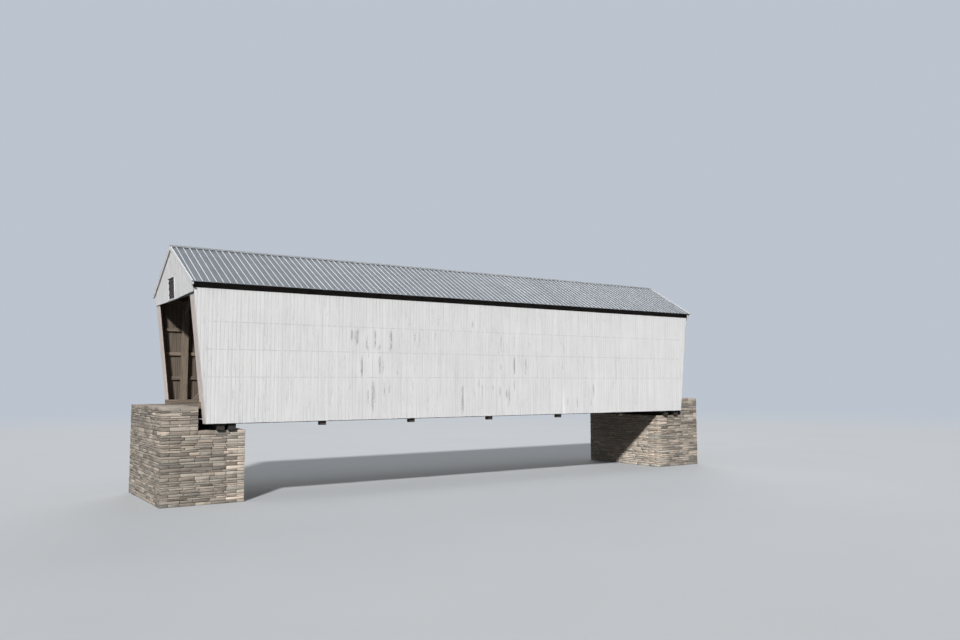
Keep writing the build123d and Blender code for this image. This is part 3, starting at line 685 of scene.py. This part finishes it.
# Where grey shows through a board: place along the wall from mid-span, lower and upper level, wear
GREY_MARKS = [
    (-2.44, 6.08, 6.57, 0.5), (-2.31, 6.09, 6.51, 0.55), (-0.75, 6.1, 6.41, 0.85),
    (-0.47, 6.14, 6.39, 0.55), (-0.93, 6.2, 6.47, 0.4), (0.33, 6.25, 7.1, 0.35),
    (-5.32, 6.01, 6.25, 0.35), (3.74, 6.06, 6.24, 0.45), (-6.07, 5.37, 5.83, 0.95),
    (-5.94, 5.45, 5.83, 0.6), (-5.81, 5.32, 5.87, 0.85), (-5.42, 5.09, 5.64, 0.65),
    (-5.13, 5.09, 5.92, 0.85), (-5.0, 5.09, 5.34, 0.6), (-4.82, 5.1, 5.41, 0.75),
    (-4.65, 5.66, 5.91, 0.5), (-4.47, 5.17, 5.91, 0.95), (-6.61, 5.48, 5.72, 0.5),
    (-3.44, 5.44, 5.89, 0.65), (-3.3, 5.38, 5.86, 0.65), (-3.15, 5.26, 5.77, 0.45),
    (-2.52, 5.66, 5.89, 0.55), (-2.4, 5.53, 5.92, 0.55), (-2.27, 5.34, 5.67, 0.45),
    (0.64, 5.15, 5.9, 0.6), (3.79, 5.49, 5.92, 0.55), (3.93, 5.06, 5.78, 0.5),
    (4.41, 5.07, 5.5, 0.5), (-5.66, 4.2, 4.87, 0.95), (-4.98, 4.6, 4.91, 0.55),
    (-4.86, 4.23, 4.91, 0.8), (-4.72, 4.3, 4.73, 0.5), (-4.18, 4.21, 4.49, 0.65),
    (-4.06, 4.61, 4.93, 0.45), (0.59, 4.39, 4.73, 0.7), (0.95, 4.7, 4.94, 0.45),
    (1.27, 4.23, 5.03, 0.9), (1.96, 4.23, 4.96, 0.7), (1.83, 4.26, 4.82, 0.5),
    (3.92, 4.49, 4.99, 0.55), (-6.28, 4.62, 4.95, 0.4), (-6.15, 4.5, 4.8, 0.45),
    (-6.02, 4.4, 4.7, 0.4), (-5.38, 3.2, 3.99, 0.6), (-5.24, 3.1, 3.95, 0.7),
    (-5.1, 2.83, 4.02, 0.75), (-4.7, 3.4, 3.93, 0.55), (-4.39, 3.43, 3.9, 0.55),
    (-6.01, 3.6, 3.93, 0.4), (-6.57, 3.6, 3.87, 0.45), (-3.89, 3.05, 3.68, 0.4),
    (-2.95, 3.42, 3.86, 0.4), (-1.23, 2.75, 3.86, 0.95), (-0.3, 2.99, 3.89, 0.55),
    (0.23, 3.65, 3.91, 0.65), (0.57, 3.3, 3.92, 0.65), (0.83, 3.3, 3.7, 0.95),
    (0.96, 2.97, 3.92, 0.65), (1.09, 3.1, 3.51, 0.45), (1.28, 3.65, 4.12, 0.65),
    (4.17, 2.91, 3.34, 0.55), (4.71, 2.94, 3.34, 0.65), (5.46, 2.89, 3.48, 0.5),
    (5.67, 3.22, 3.88, 0.65), (2.58, 3.29, 3.64, 0.35), (3.25, 6.7, 6.95, 0.45),
    (3.4, 6.78, 7.0, 0.45),
]


def wall_joints():
    """Joints between wall boards: 168 boards over the level foot and 4 past it at each end."""
    middle = np.linspace(-WALL_FOOT_END, WALL_FOOT_END, 169)
    past = np.linspace(WALL_FOOT_END, WALL_TOP_END, 5)[1:]
    return np.concatenate([-past[::-1], middle, past])


def slanted_foot(across):
    """Level at the wall's foot, then up the leaning end: the rise is the run over the lean."""
    run = np.maximum(np.abs(across) - WALL_FOOT_END, 0)
    return np.minimum(WALL_FOOT + run / WALL_LEAN, WALL_TOP - 0.012)


def side_wall(side, word):
    """Upright boards nailed at three lines and at both ends, with grey streaks between the lines.

    The back wall has the same streaks, mirrored. A streak has soft ends and keeps to one edge.
    """
    joints = wall_joints()
    left, right = joints[:-1], joints[1:]
    levels = [*np.linspace(WALL_FOOT, NAIL_LINES[0], 9)[:-1]]
    for low, high in pairwise((*NAIL_LINES, WALL_TOP)):
        levels += [low + away for away in (-0.022, -0.002, 0.002, 0.022)]
        levels += [*np.linspace(low, high, 6)[1:-1]]
    levels = np.array(levels + [WALL_TOP])
    fractions = (levels - WALL_FOOT) / (WALL_TOP - WALL_FOOT)
    points = boards(left, right, slanted_foot, WALL_TOP, fractions, BOARD, seed=11 + side)
    shape = points.shape[:3]
    middle = -side * (left + right) / 2
    bay = np.searchsorted(NAIL_LINES, points[..., 2])
    rng = np.random.default_rng(31 + side)
    faint = rng.uniform(0.05, 0.34, (len(left), 4))
    faint *= np.interp(middle, [-11.7, 2, 6, 11.7], [1, 1, 0.8, 0.65])[:, None]
    wear = np.take_along_axis(faint, bay.reshape(len(left), -1), axis=1).reshape(shape)
    one_edge = np.array([1, 1, 1, 1, 0.6, 0.15, 0.1, 0.1])
    for x, low, high, amount in GREY_MARKS:
        board = np.argmin(np.abs(middle - x))
        level = points[board, ..., 2]
        above, below = ((run / 0.2 + 0.6).clip(0, 1) for run in (level - low, high - level))
        streak = amount * above * below * one_edge[::rng.choice([-1, 1])]
        wear[board] = np.maximum(wear[board], streak)
    near = np.min([np.abs(points[..., 2] - line) for line in NAIL_LINES], axis=0)
    across, out, up = np.moveaxis(warped_board(points, middle), -1, 0)
    world = at(across, side * (WALL_OUTER - BOARD / 2 + out), up)
    piece = board_piece(f"{word}_wall_boards", world, PAINT, "white_boards", 5 + side,
                        wear=wear, nail_line=near < 0.01)
    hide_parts(f"{word}_siding")
    wall_nails(side, word, left, right)


def warped_board(points, middle):
    """One board has let go below the first nail line: at its foot one edge stands out by 45 mm."""
    moved = points.copy()
    loose = np.argmin(np.abs(middle - 3.9))
    slack = np.clip((NAIL_LINES[0] - 0.2 - moved[loose, :, :, 2]) / 1.3, 0, 1)
    skew = np.clip((moved[loose, :, :, 0] - middle[loose]) / 0.066, -1, 1)
    moved[loose, :, :, 1] += slack ** 1.3 * (0.0225 + 0.0225 * skew)
    return moved


def wall_nails(side, word, left, right):
    """Two nail heads a board at each line, near the foot and near the top."""
    lines = np.array([WALL_FOOT + 0.12, *NAIL_LINES, WALL_TOP - 0.06])
    rng = np.random.default_rng(71 + side)
    across = np.stack([left + 0.028, right - 0.028], -1)[:, None, :]
    across = across + rng.uniform(-0.004, 0.004, (len(left), len(lines), 2))
    levels = lines[:, None] + rng.uniform(-0.006, 0.006, across.shape)
    on_board = levels > slanted_foot(across) + 0.05
    centres = at(across[on_board], side * (WALL_OUTER - 0.0022), levels[on_board])
    head = [(0, NAIL_HEAD), (0.0026, NAIL_HEAD), (0.0034, 0.0028)]
    turned_piece(f"{word}_wall_nails", centres, (0, side, 0), head, TRIM_PAINT)


# Ends

def under_roof(across):
    """Level of the roof sheets' underside: it falls from the ridge by 0.5565 for each metre out."""
    return EAVE_LEVEL + (EAVE_OUT - np.abs(across)) * math.tan(PITCH)


def gable_foot(across):
    """Level of the gable boards' foot: even at the back, then up by 80 mm from the middle to the
    front edge."""
    return GABLE_FOOT + GABLE_FOOT_RISE * np.maximum(-across, 0) / GABLE_EDGE


def gable_inner(level):
    """From mid-span to the gable boards' inner face, which leans out by GABLE_LEAN a metre up."""
    return GABLE_FACE + GABLE_LEAN * (level - GABLE_FOOT)


def gable_boards(end, word):
    """Upright boards under both slopes, whole beside the window and short over and under it."""
    hole = WINDOW_HALF + WINDOW_FRAME
    near, far = WINDOW_MIDDLE - hole, WINDOW_MIDDLE + hole
    front, over, back = (np.linspace(*run) for run in (
        (-GABLE_EDGE, near, 17), (near, far, 7), (far, GABLE_EDGE, 15)))
    rows = [
        (front[:-1], front[1:], gable_foot, under_roof),
        (back[:-1], back[1:], gable_foot, under_roof),
        (over[:-1], over[1:], WINDOW_TOP + WINDOW_FRAME, under_roof),
        (over[:-1], over[1:], gable_foot, WINDOW_FOOT - WINDOW_FRAME),
    ]
    fractions = np.array([0, 0.03, 0.25, 0.5, 0.75, 1.0])
    points = np.concatenate([
        boards(*row, fractions, BOARD, seed=101 + 7 * i + end, bow=0.002 if i < 3 else 0.0)
        for i, row in enumerate(rows)])
    rng = np.random.default_rng(57 + end)
    wear = one_each(rng, 0.05, 0.45, points.shape[:3])
    across, out, up = np.moveaxis(points, -1, 0)
    world = at(end * (gable_inner(up) + BOARD / 2 + out), across, up)
    piece = board_piece(f"{word}_gable_boards", world, PAINT, "white_boards", 23 + end, wear=wear)
    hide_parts(f"{word}_gable")
    gable_nails(end, word, np.concatenate([front[:-1], over[:-1], back[:-1]]))


def gable_nails(end, word, left):
    """Two nail heads a board over the sill and again at mid height, clear of the window."""
    across = np.concatenate([left + 0.03, left + 0.11])
    found = []
    for level in (GABLE_FOOT + 0.03, 7.78, 8.2):
        beside = np.abs(across - WINDOW_MIDDLE) > WINDOW_HALF + 0.06
        fits = (level < under_roof(across) - 0.16) & ((level > WINDOW_TOP + 0.06) | beside)
        fits &= level > gable_foot(across) + 0.012
        found.append(at(end * (gable_inner(level) + BOARD - 0.0015), across[fits], level))
    head = [(0, NAIL_HEAD), (0.0024, NAIL_HEAD), (0.0032, 0.0028)]
    turned_piece(f"{word}_gable_nails", np.concatenate(found), (end, 0, 0), head, TRIM_PAINT)


def jamb_boards(end, word):
    """Three leaning boards on each side of the portal, two from the wall's foot, one from the curb.

    Their inner face stands at the wall's end plus WALL_LEAN for each metre up.
    """
    joints = np.array([2.11, 2.255, 2.41, WALL_OUTER])
    foot = np.array([CURB_TOP, WALL_FOOT, WALL_FOOT])
    fractions = np.linspace(0, 1, 9)
    found = []
    for side in (-1, 1):
        points = boards(joints[:-1], joints[1:], foot, GABLE_FOOT, fractions, BOARD,
                        seed=7 + side + end, bow=0.0015)
        across, out, up = np.moveaxis(points, -1, 0)
        inner = WALL_FOOT_END + WALL_LEAN * (up - WALL_FOOT)
        world = at(end * (inner + BOARD / 2 + out), side * across, up)
        found.append(world if side * end > 0 else world[:, :, ::-1])
    world = np.concatenate(found)
    rng = np.random.default_rng(91 + end)
    wear = one_each(rng, 0.1, 0.5, world.shape[:3])
    piece = board_piece(f"{word}_jamb_boards", world, JAMB_PAINT, "white_boards", 61 + end,
                        wear=wear)
    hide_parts(f"{word}_portal_jambs")


def window_lattice(end, word):
    """Crossed laths in the gable window, two layers at 45 degrees.

    On a lath y = t + c and z = t - c about the window's middle, or z = c - t on the other layer.
    t runs between the places where the lath goes into the frame.
    """
    housed = 0.016
    half_y, half_z = WINDOW_HALF + housed, (WINDOW_TOP - WINDOW_FOOT) / 2 + housed
    found = []
    for layer, turn in ((0.0, 1), (0.008, -1)):
        c = np.arange(-4, 5) * 0.104
        start, stop = np.maximum(-half_y - c, -half_z + c), np.minimum(half_y - c, half_z + c)
        fits = stop - start > 0.06
        c, start, stop = c[fits], start[fits], stop[fits]
        t = np.stack([start, stop], -1)[:, :, None]
        ring = np.array([(-1, -1), (-1, 1), (1, 1), (1, -1)]) * [0.009, 0.0038]
        c = c[:, None, None] + ring[:, 0] / math.sqrt(2)
        level = (WINDOW_FOOT + WINDOW_TOP) / 2 + turn * (t - c)
        x = gable_inner(level) + 0.006 + layer + ring[:, 1]
        found.append(at(end * x, WINDOW_MIDDLE + t + c, level)[:, :, ::turn])
    prism_piece(f"{word}_window_lattice", np.concatenate(found), SHADED_LATH_PAINT)


# Roof

def on_slope(up, lift, side):
    """Place across and height so far up the slope, lifted square off the sheets' underside."""
    across = EAVE_OUT - up * math.cos(PITCH) + lift * math.sin(PITCH)
    return side * across, EAVE_LEVEL + up * math.sin(PITCH) + lift * math.cos(PITCH)


def roof_screws(side, word):
    """A washered screw beside each rib at the five lower purlins, and one over every other rib of
    the cap."""
    ribs = (np.arange(103) - 51) * RIB_SPACING
    first, last = 0.3, SLOPE_LENGTH - 0.11
    rows = first + (last - first) * np.arange(5) / 5
    rng = np.random.default_rng(3 + side)
    up, x = (grid.ravel() for grid in np.meshgrid(rows, ribs[:-1] + 0.045, indexing="ij"))
    up = up + rng.uniform(-0.006, 0.006, up.shape)
    x = x + rng.uniform(-0.004, 0.004, x.shape)
    sheet = at(x, *on_slope(up, 0.0028, side))
    cap = at(ribs[::2], *on_slope(SLOPE_LENGTH - 0.12, 0.0248, side))
    square = (0, side * math.sin(PITCH), math.cos(PITCH))
    washer_and_head = [(0, 0.0085), (0.0014, 0.0085), (0.0016, 0.0048), (0.006, 0.0045)]
    turned_piece(f"{word}_roof_screws", np.concatenate([sheet, cap]), square, washer_and_head,
                 SCREW_METAL)


def rake_flashing(end, side, word):
    """A folded strip along the end of one slope.

    It has an inner leg that stands on the sheet, a flat at the ribs' height and a leg turned down
    over the sheets' ends. Its section in x and lift is carried up the slope. The roof's end leans
    out with the gable, so the gable's inner face at each height plus ROOF_END is added to x.
    """
    up = np.linspace(0.004, SLOPE_LENGTH - 0.153, 13)[:, None]
    section = np.array([
        (-0.03, 0.0035), (-0.03, 0.027), (0.004, 0.027), (0.004, -0.03),
        (0.0015, -0.03), (0.0015, 0.0245), (-0.0275, 0.0245), (-0.0275, 0.0035)])
    y, z = on_slope(up, section[:, 1], side)
    points = at(end * (gable_inner(z) + ROOF_END + section[:, 0]), y, z)[None]
    prism_piece(f"{word}_rake_flashing", points, FLASHING)


def rake_trim(end, side, word):
    """Two lengths of trim on the rake board, flush with the sheets' ends, mitred at the ridge.

    The section is x off the gable boards' inner face and depth square to the slope, so a point
    hangs its depth / cos(PITCH) under the sheets. Near the eave the trim's foot is cut level.
    """
    cut_level = 7.146
    y = np.array([[EAVE_OUT - 0.02, EAVE_OUT - 0.085, 1.43], [1.427, 0.7, 0.001]])
    section = np.array([(0.0555, 0.001), (0.0555, 0.118), (0.079, 0.118), (0.079, 0.001)])
    z = np.maximum(under_roof(y)[..., None] - section[:, 1] / math.cos(PITCH), cut_level)
    points = at(end * (gable_inner(z) + section[:, 0]), side * y[..., None], z)
    prism_piece(f"{word}_rake_trim", points, TRIM_PAINT)


# Floor and joints

def floor_planks():
    """Planks laid lengthwise on the floor beams, 22 across, their joints on beams and staggered."""
    reach, thickness = BACKWALL_FACE - 0.005, 0.075
    beams = POSTS[0] + PANEL / 8 + PANEL / 4 * np.arange(24)
    joints = np.linspace(-DECK_HALF, DECK_HALF, 23)
    left, right, start, stop = [], [], [], []
    for row in range(len(joints) - 1):
        ends = np.concatenate([[-reach], beams[(0, 3, 1, 4, 2)[row % 5]::5], [reach]])
        left += [joints[row]] * (len(ends) - 1)
        right += [joints[row + 1]] * (len(ends) - 1)
        start += list(ends[:-1] + 0.002)
        stop += list(ends[1:] - 0.002)
    points = boards(np.array(left), np.array(right), np.array(start), np.array(stop),
                    np.array([0, 0.01, 0.3, 0.7, 0.99, 1.0]), thickness, seed=8, gap=0.008, bow=0.0)
    across, up, along = np.moveaxis(points, -1, 0)
    world = at(along, across, DECK_TOP - thickness / 2 - 0.0004 + up)
    piece = board_piece("floor_planks", world, PLANKS, "floor_planks", 9)
    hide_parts("deck")
    x, y = (grid.ravel() for grid in np.meshgrid(beams, joints[:-1], indexing="ij"))
    x, y = np.concatenate([x - 0.035, x + 0.035]), np.concatenate([y + 0.05, y + 0.15])
    turned_piece("floor_nails", at(x, y, DECK_TOP - 0.0018), (0, 0, 1),
                 [(0, 0.006), (0.0028, 0.006)], BOLT_IRON)


def chord_bolts():
    """Two bolts a post through the bottom chord, each with a washer plate and a six-sided nut."""
    washer = [(-0.001, 0.044), (0.006, 0.044)]
    nut_and_end = [(0.004, 0.021), (0.023, 0.021), (0.0235, 0.011), (0.036, 0.0105)]
    washers, nuts = [], []
    for side in (-1, 1):
        for level, shift in ((2.68, -0.05), (2.78, 0.05)):
            centres = at(POSTS + shift, side * CHORD_INNER, level)
            washers.append(turned(centres, (0, -side, 0), washer, 4))
            nuts.append(turned(centres, (0, -side, 0), nut_and_end))
    prism_piece("chord_washers", np.concatenate(washers), BOLT_IRON)
    prism_piece("chord_nuts", np.concatenate(nuts), BOLT_IRON)


# Abutments

def shares(start, stop, shortest, longest, rng):
    """Joints from start to stop with random lengths between, scaled to fill the run."""
    count = max(1, round((stop - start) / ((shortest + longest) / 2)))
    lengths = rng.uniform(shortest, longest, count)
    return start + np.concatenate([[0], np.cumsum(lengths)]) / lengths.sum() * (stop - start)


def ring_course(found, start, low, high, turn, rng):
    """One course of stones round a rectangle, from a start along the bridge to the abutment's back.

    Long corner stones are laid by turns along and across, with stones of random length between.
    """
    stop, half, depth = ABUTMENT_BACK, ABUTMENT_HALF, STONE_DEPTH
    long, short = (CORNER_STONE, depth) if turn else (depth, CORNER_STONE)
    for x0, x1 in ((start, start + long), (stop - long, stop)):
        for y0, y1 in ((-half, -half + short), (half - short, half)):
            found.append((x0, y0, low, x1, y1, high))
    for a, b in pairwise(shares(start + long, stop - long, 0.28, 0.62, rng)):
        found.append((a, -half, low, b, -half + depth, high))
        found.append((a, half - depth, low, b, half, high))
    for face in (start, stop - depth):
        joints = shares(-half + short, half - short, 0.3, 0.7, rng)
        found += [(face, a, low, face + depth, b, high) for a, b in pairwise(joints)]


def courses(found, start, foot, top, rng):
    """Thin courses of random height, one over another, that end at the top level."""
    for i, (low, high) in enumerate(pairwise(shares(foot, top, *COURSES, rng))):
        ring_course(found, start, low, high, i % 2, rng)


def slab_course(found, start, stop, top, rows):
    """Flat stones that cover a rectangle up to the top level, 8 and 9 a row by turns."""
    for row, (x0, x1) in enumerate(pairwise(np.linspace(start, stop, rows + 1))):
        y = np.linspace(-ABUTMENT_HALF, ABUTMENT_HALF, 9 + row % 2)
        found += [(x0, a, top - SLAB, x1, b, top) for a, b in pairwise(y)]


def abutment(end, word):
    """Courses of bedded stone on all sides, a seat of thick slabs, and the rubble core behind,
    whose dark colour is painted shade in the open joints.

    The stones of the face towards the stream are paler, and its corner stones half so.
    """
    rng = np.random.default_rng(200 + end)
    found = []
    courses(found, ABUTMENT_FACE, 0.0, SEAT - SLAB, rng)
    slab_course(found, ABUTMENT_FACE, BACKWALL_FACE, SEAT, 3)
    ring_course(found, BACKWALL_FACE, SEAT - SLAB, SEAT, 0, rng)
    courses(found, BACKWALL_FACE, SEAT, DECK_TOP - SLAB, rng)
    slab_course(found, BACKWALL_FACE, ABUTMENT_BACK, DECK_TOP, 2)
    found = np.array(found)
    joint = rng.uniform(0.003, 0.008, (len(found), 1))
    points, quads = stone_blocks(found[:, :3] + joint, found[:, 3:] - joint, 300 + end)
    points = np.clip(points, (ABUTMENT_FACE, -ABUTMENT_HALF, 0),
                     (ABUTMENT_BACK, ABUTMENT_HALF, DECK_TOP))
    count, corners = points.shape[:2]
    on_face = found[:, 0] < ABUTMENT_FACE + 0.01
    outermost = np.maximum(-found[:, 1], found[:, 4]) > ABUTMENT_HALF - 0.01
    at_corner = on_face & outermost
    paler_face = np.where(at_corner, 1.3, np.where(on_face, 1.9, 0.0))
    tone = rng.uniform(-1, 1, count) * np.where(on_face, 0.6, 1.0) + paler_face
    values = {"tone": np.repeat(tone, corners), "hue": np.repeat(rng.uniform(0, 1, count), corners)}
    stones = make_piece(f"{word}_abutment_stones", points * [end, 1, 1], quads, STONE,
                        values, crease=55)
    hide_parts(f"{word}_abutment")
    recess = 0.02
    back = ABUTMENT_BACK - recess
    profile = np.array([
        (ABUTMENT_FACE + recess, 0), (back, 0), (back, DECK_TOP - recess),
        (BACKWALL_FACE + recess, DECK_TOP - recess), (BACKWALL_FACE + recess, SEAT - recess),
        (ABUTMENT_FACE + recess, SEAT - recess)])
    y = np.array([-1, 1]) * (ABUTMENT_HALF - recess)
    core = at(end * profile[:, 0], y[:, None], profile[:, 1])[None]
    prism_piece(f"{word}_abutment_core", core, JOINT_SHADE_CORE)


# Stage

PALE = (0.50, 0.55, 0.62)


def seen_directly(tree):
    """1 for rays from the camera, a mirror or glass, and 0 for light falling on the object."""
    path = place(tree, "ShaderNodeLightPath").outputs
    both = calc(tree, "MAXIMUM", path["Is Camera Ray"], path["Is Glossy Ray"])
    return calc(tree, "MAXIMUM", both, path["Is Transmission Ray"])


def pale_floor():
    """A round floor at ground level that fades into the background far from the object."""
    rings = np.array([0, 12, 25, 40, 60, 90, 140, 240, 500.0])[:, None]
    t = np.arange(64) * 2 * math.pi / 64
    points = at(rings * np.cos(t), rings * np.sin(t), 0.0)
    index = np.arange(9 * 64).reshape(9, 64)
    next_index = np.roll(index, -1, axis=1)
    quads = np.stack([index[:-1], index[1:], next_index[1:], next_index[:-1]], -1).reshape(-1, 4)
    mesh = bpy.data.meshes.new("floor")
    mesh.from_pydata(points.reshape(-1, 3).tolist(), [], quads.tolist())
    made, tree, shader = shader_material("pale_floor", 0.9)
    where = position(tree)
    far = place(tree, "ShaderNodeVectorMath", {0: where}, operation="LENGTH").outputs[1]
    fade = times(tree, span(tree, far, 26, 95), seen_directly(tree))
    pale = blended(tree, cloud(tree, where, (0.2, 0.2, 0.2)), (0.46, 0.475, 0.49),
                   (0.49, 0.50, 0.515))
    colour = blended(tree, seen_directly(tree), (0.06, 0.058, 0.056), pale)
    tree.links.new(colour, shader.inputs["Base Color"])
    glow = place(tree, "ShaderNodeEmission", {"Color": (*PALE, 1.0), "Strength": 1.0})
    both = place(tree, "ShaderNodeMixShader", {0: fade, 1: shader.outputs[0], 2: glow.outputs[0]})
    tree.links.new(both.outputs[0], tree.nodes["Material Output"].inputs["Surface"])
    mesh.materials.append(made)
    floor = bpy.data.objects.new("floor", mesh)
    bpy.context.scene.collection.objects.link(floor)


def studio_world(low, high):
    """Soft light from all round, of strength low at the horizon and high overhead."""
    world = bpy.data.worlds.new("studio")
    world.use_nodes = True
    tree = world.node_tree
    up = axes(tree, place(tree, "ShaderNodeTexCoord").outputs["Generated"])[2]
    light = place(tree, "ShaderNodeBackground", {
        "Color": (0.93, 0.97, 1.0, 1.0), "Strength": span(tree, up, 0.0, 0.9, low, high)})
    back = place(tree, "ShaderNodeBackground", {"Color": (*PALE, 1.0), "Strength": 1.0})
    both = place(tree, "ShaderNodeMixShader", {
        0: seen_directly(tree), 1: light.outputs[0], 2: back.outputs[0]})
    output = next(n for n in tree.nodes if n.type == "OUTPUT_WORLD")
    tree.links.new(both.outputs[0], output.inputs["Surface"])
    bpy.context.scene.world = world


def soft_sun(name, towards, energy, degrees):
    """A sun that stands in a direction from the object and is so many degrees wide."""
    lamp = bpy.data.lights.new(name, "SUN")
    lamp.energy = energy
    lamp.angle = math.radians(degrees)
    holder = bpy.data.objects.new(name, lamp)
    holder.rotation_mode = "QUATERNION"
    holder.rotation_quaternion = Vector(towards).to_track_quat("Z", "Y")
    bpy.context.scene.collection.objects.link(holder)


def camera_at(place_at, yaw, pitch, roll, lens):
    """A camera at a place, turned by yaw from +Y towards +X and up by pitch, in degrees."""
    yaw, pitch, roll = (math.radians(angle) for angle in (yaw, pitch, roll))
    right = Vector((math.cos(yaw), -math.sin(yaw), 0))
    level = Vector((math.sin(yaw), math.cos(yaw), 0))
    ahead = level * math.cos(pitch) + Vector((0, 0, math.sin(pitch)))
    up = right.cross(ahead)
    right, up = (right * math.cos(roll) + up * math.sin(roll),
                 up * math.cos(roll) - right * math.sin(roll))
    data = bpy.data.cameras.new("camera")
    data.lens, data.sensor_width = lens, 36.0
    data.clip_end = 2000
    camera = bpy.data.objects.new("camera", data)
    turn = Matrix((right, up, -ahead)).transposed().to_4x4()
    camera.matrix_world = Matrix.Translation(place_at) @ turn
    bpy.context.scene.collection.objects.link(camera)
    bpy.context.scene.camera = camera


finish_nodes()
for side, word in ((-1, "front"), (1, "back")):
    side_wall(side, word)
    roof_screws(side, word)
    for end, hand in ((-1, "left"), (1, "right")):
        rake_flashing(end, side, f"{word}_{hand}")
        rake_trim(end, side, f"{word}_{hand}")
for end, word in ((-1, "left"), (1, "right")):
    gable_boards(end, word)
    jamb_boards(end, word)
    window_lattice(end, word)
    abutment(end, word)
floor_planks()
chord_bolts()

pale_floor()
studio_world(0.05, 0.36)
soft_sun("key", (-0.540, -0.634, 0.554), 3.95, 4)
soft_sun("fill", (0.5, 0.75, 0.45), 0.8, 40)
camera_at((-18.780, -29.666, 3.924), 34.1233, 4.4283, -0.0957, 30.6425)
bpy.context.scene.view_settings.view_transform = "Standard"
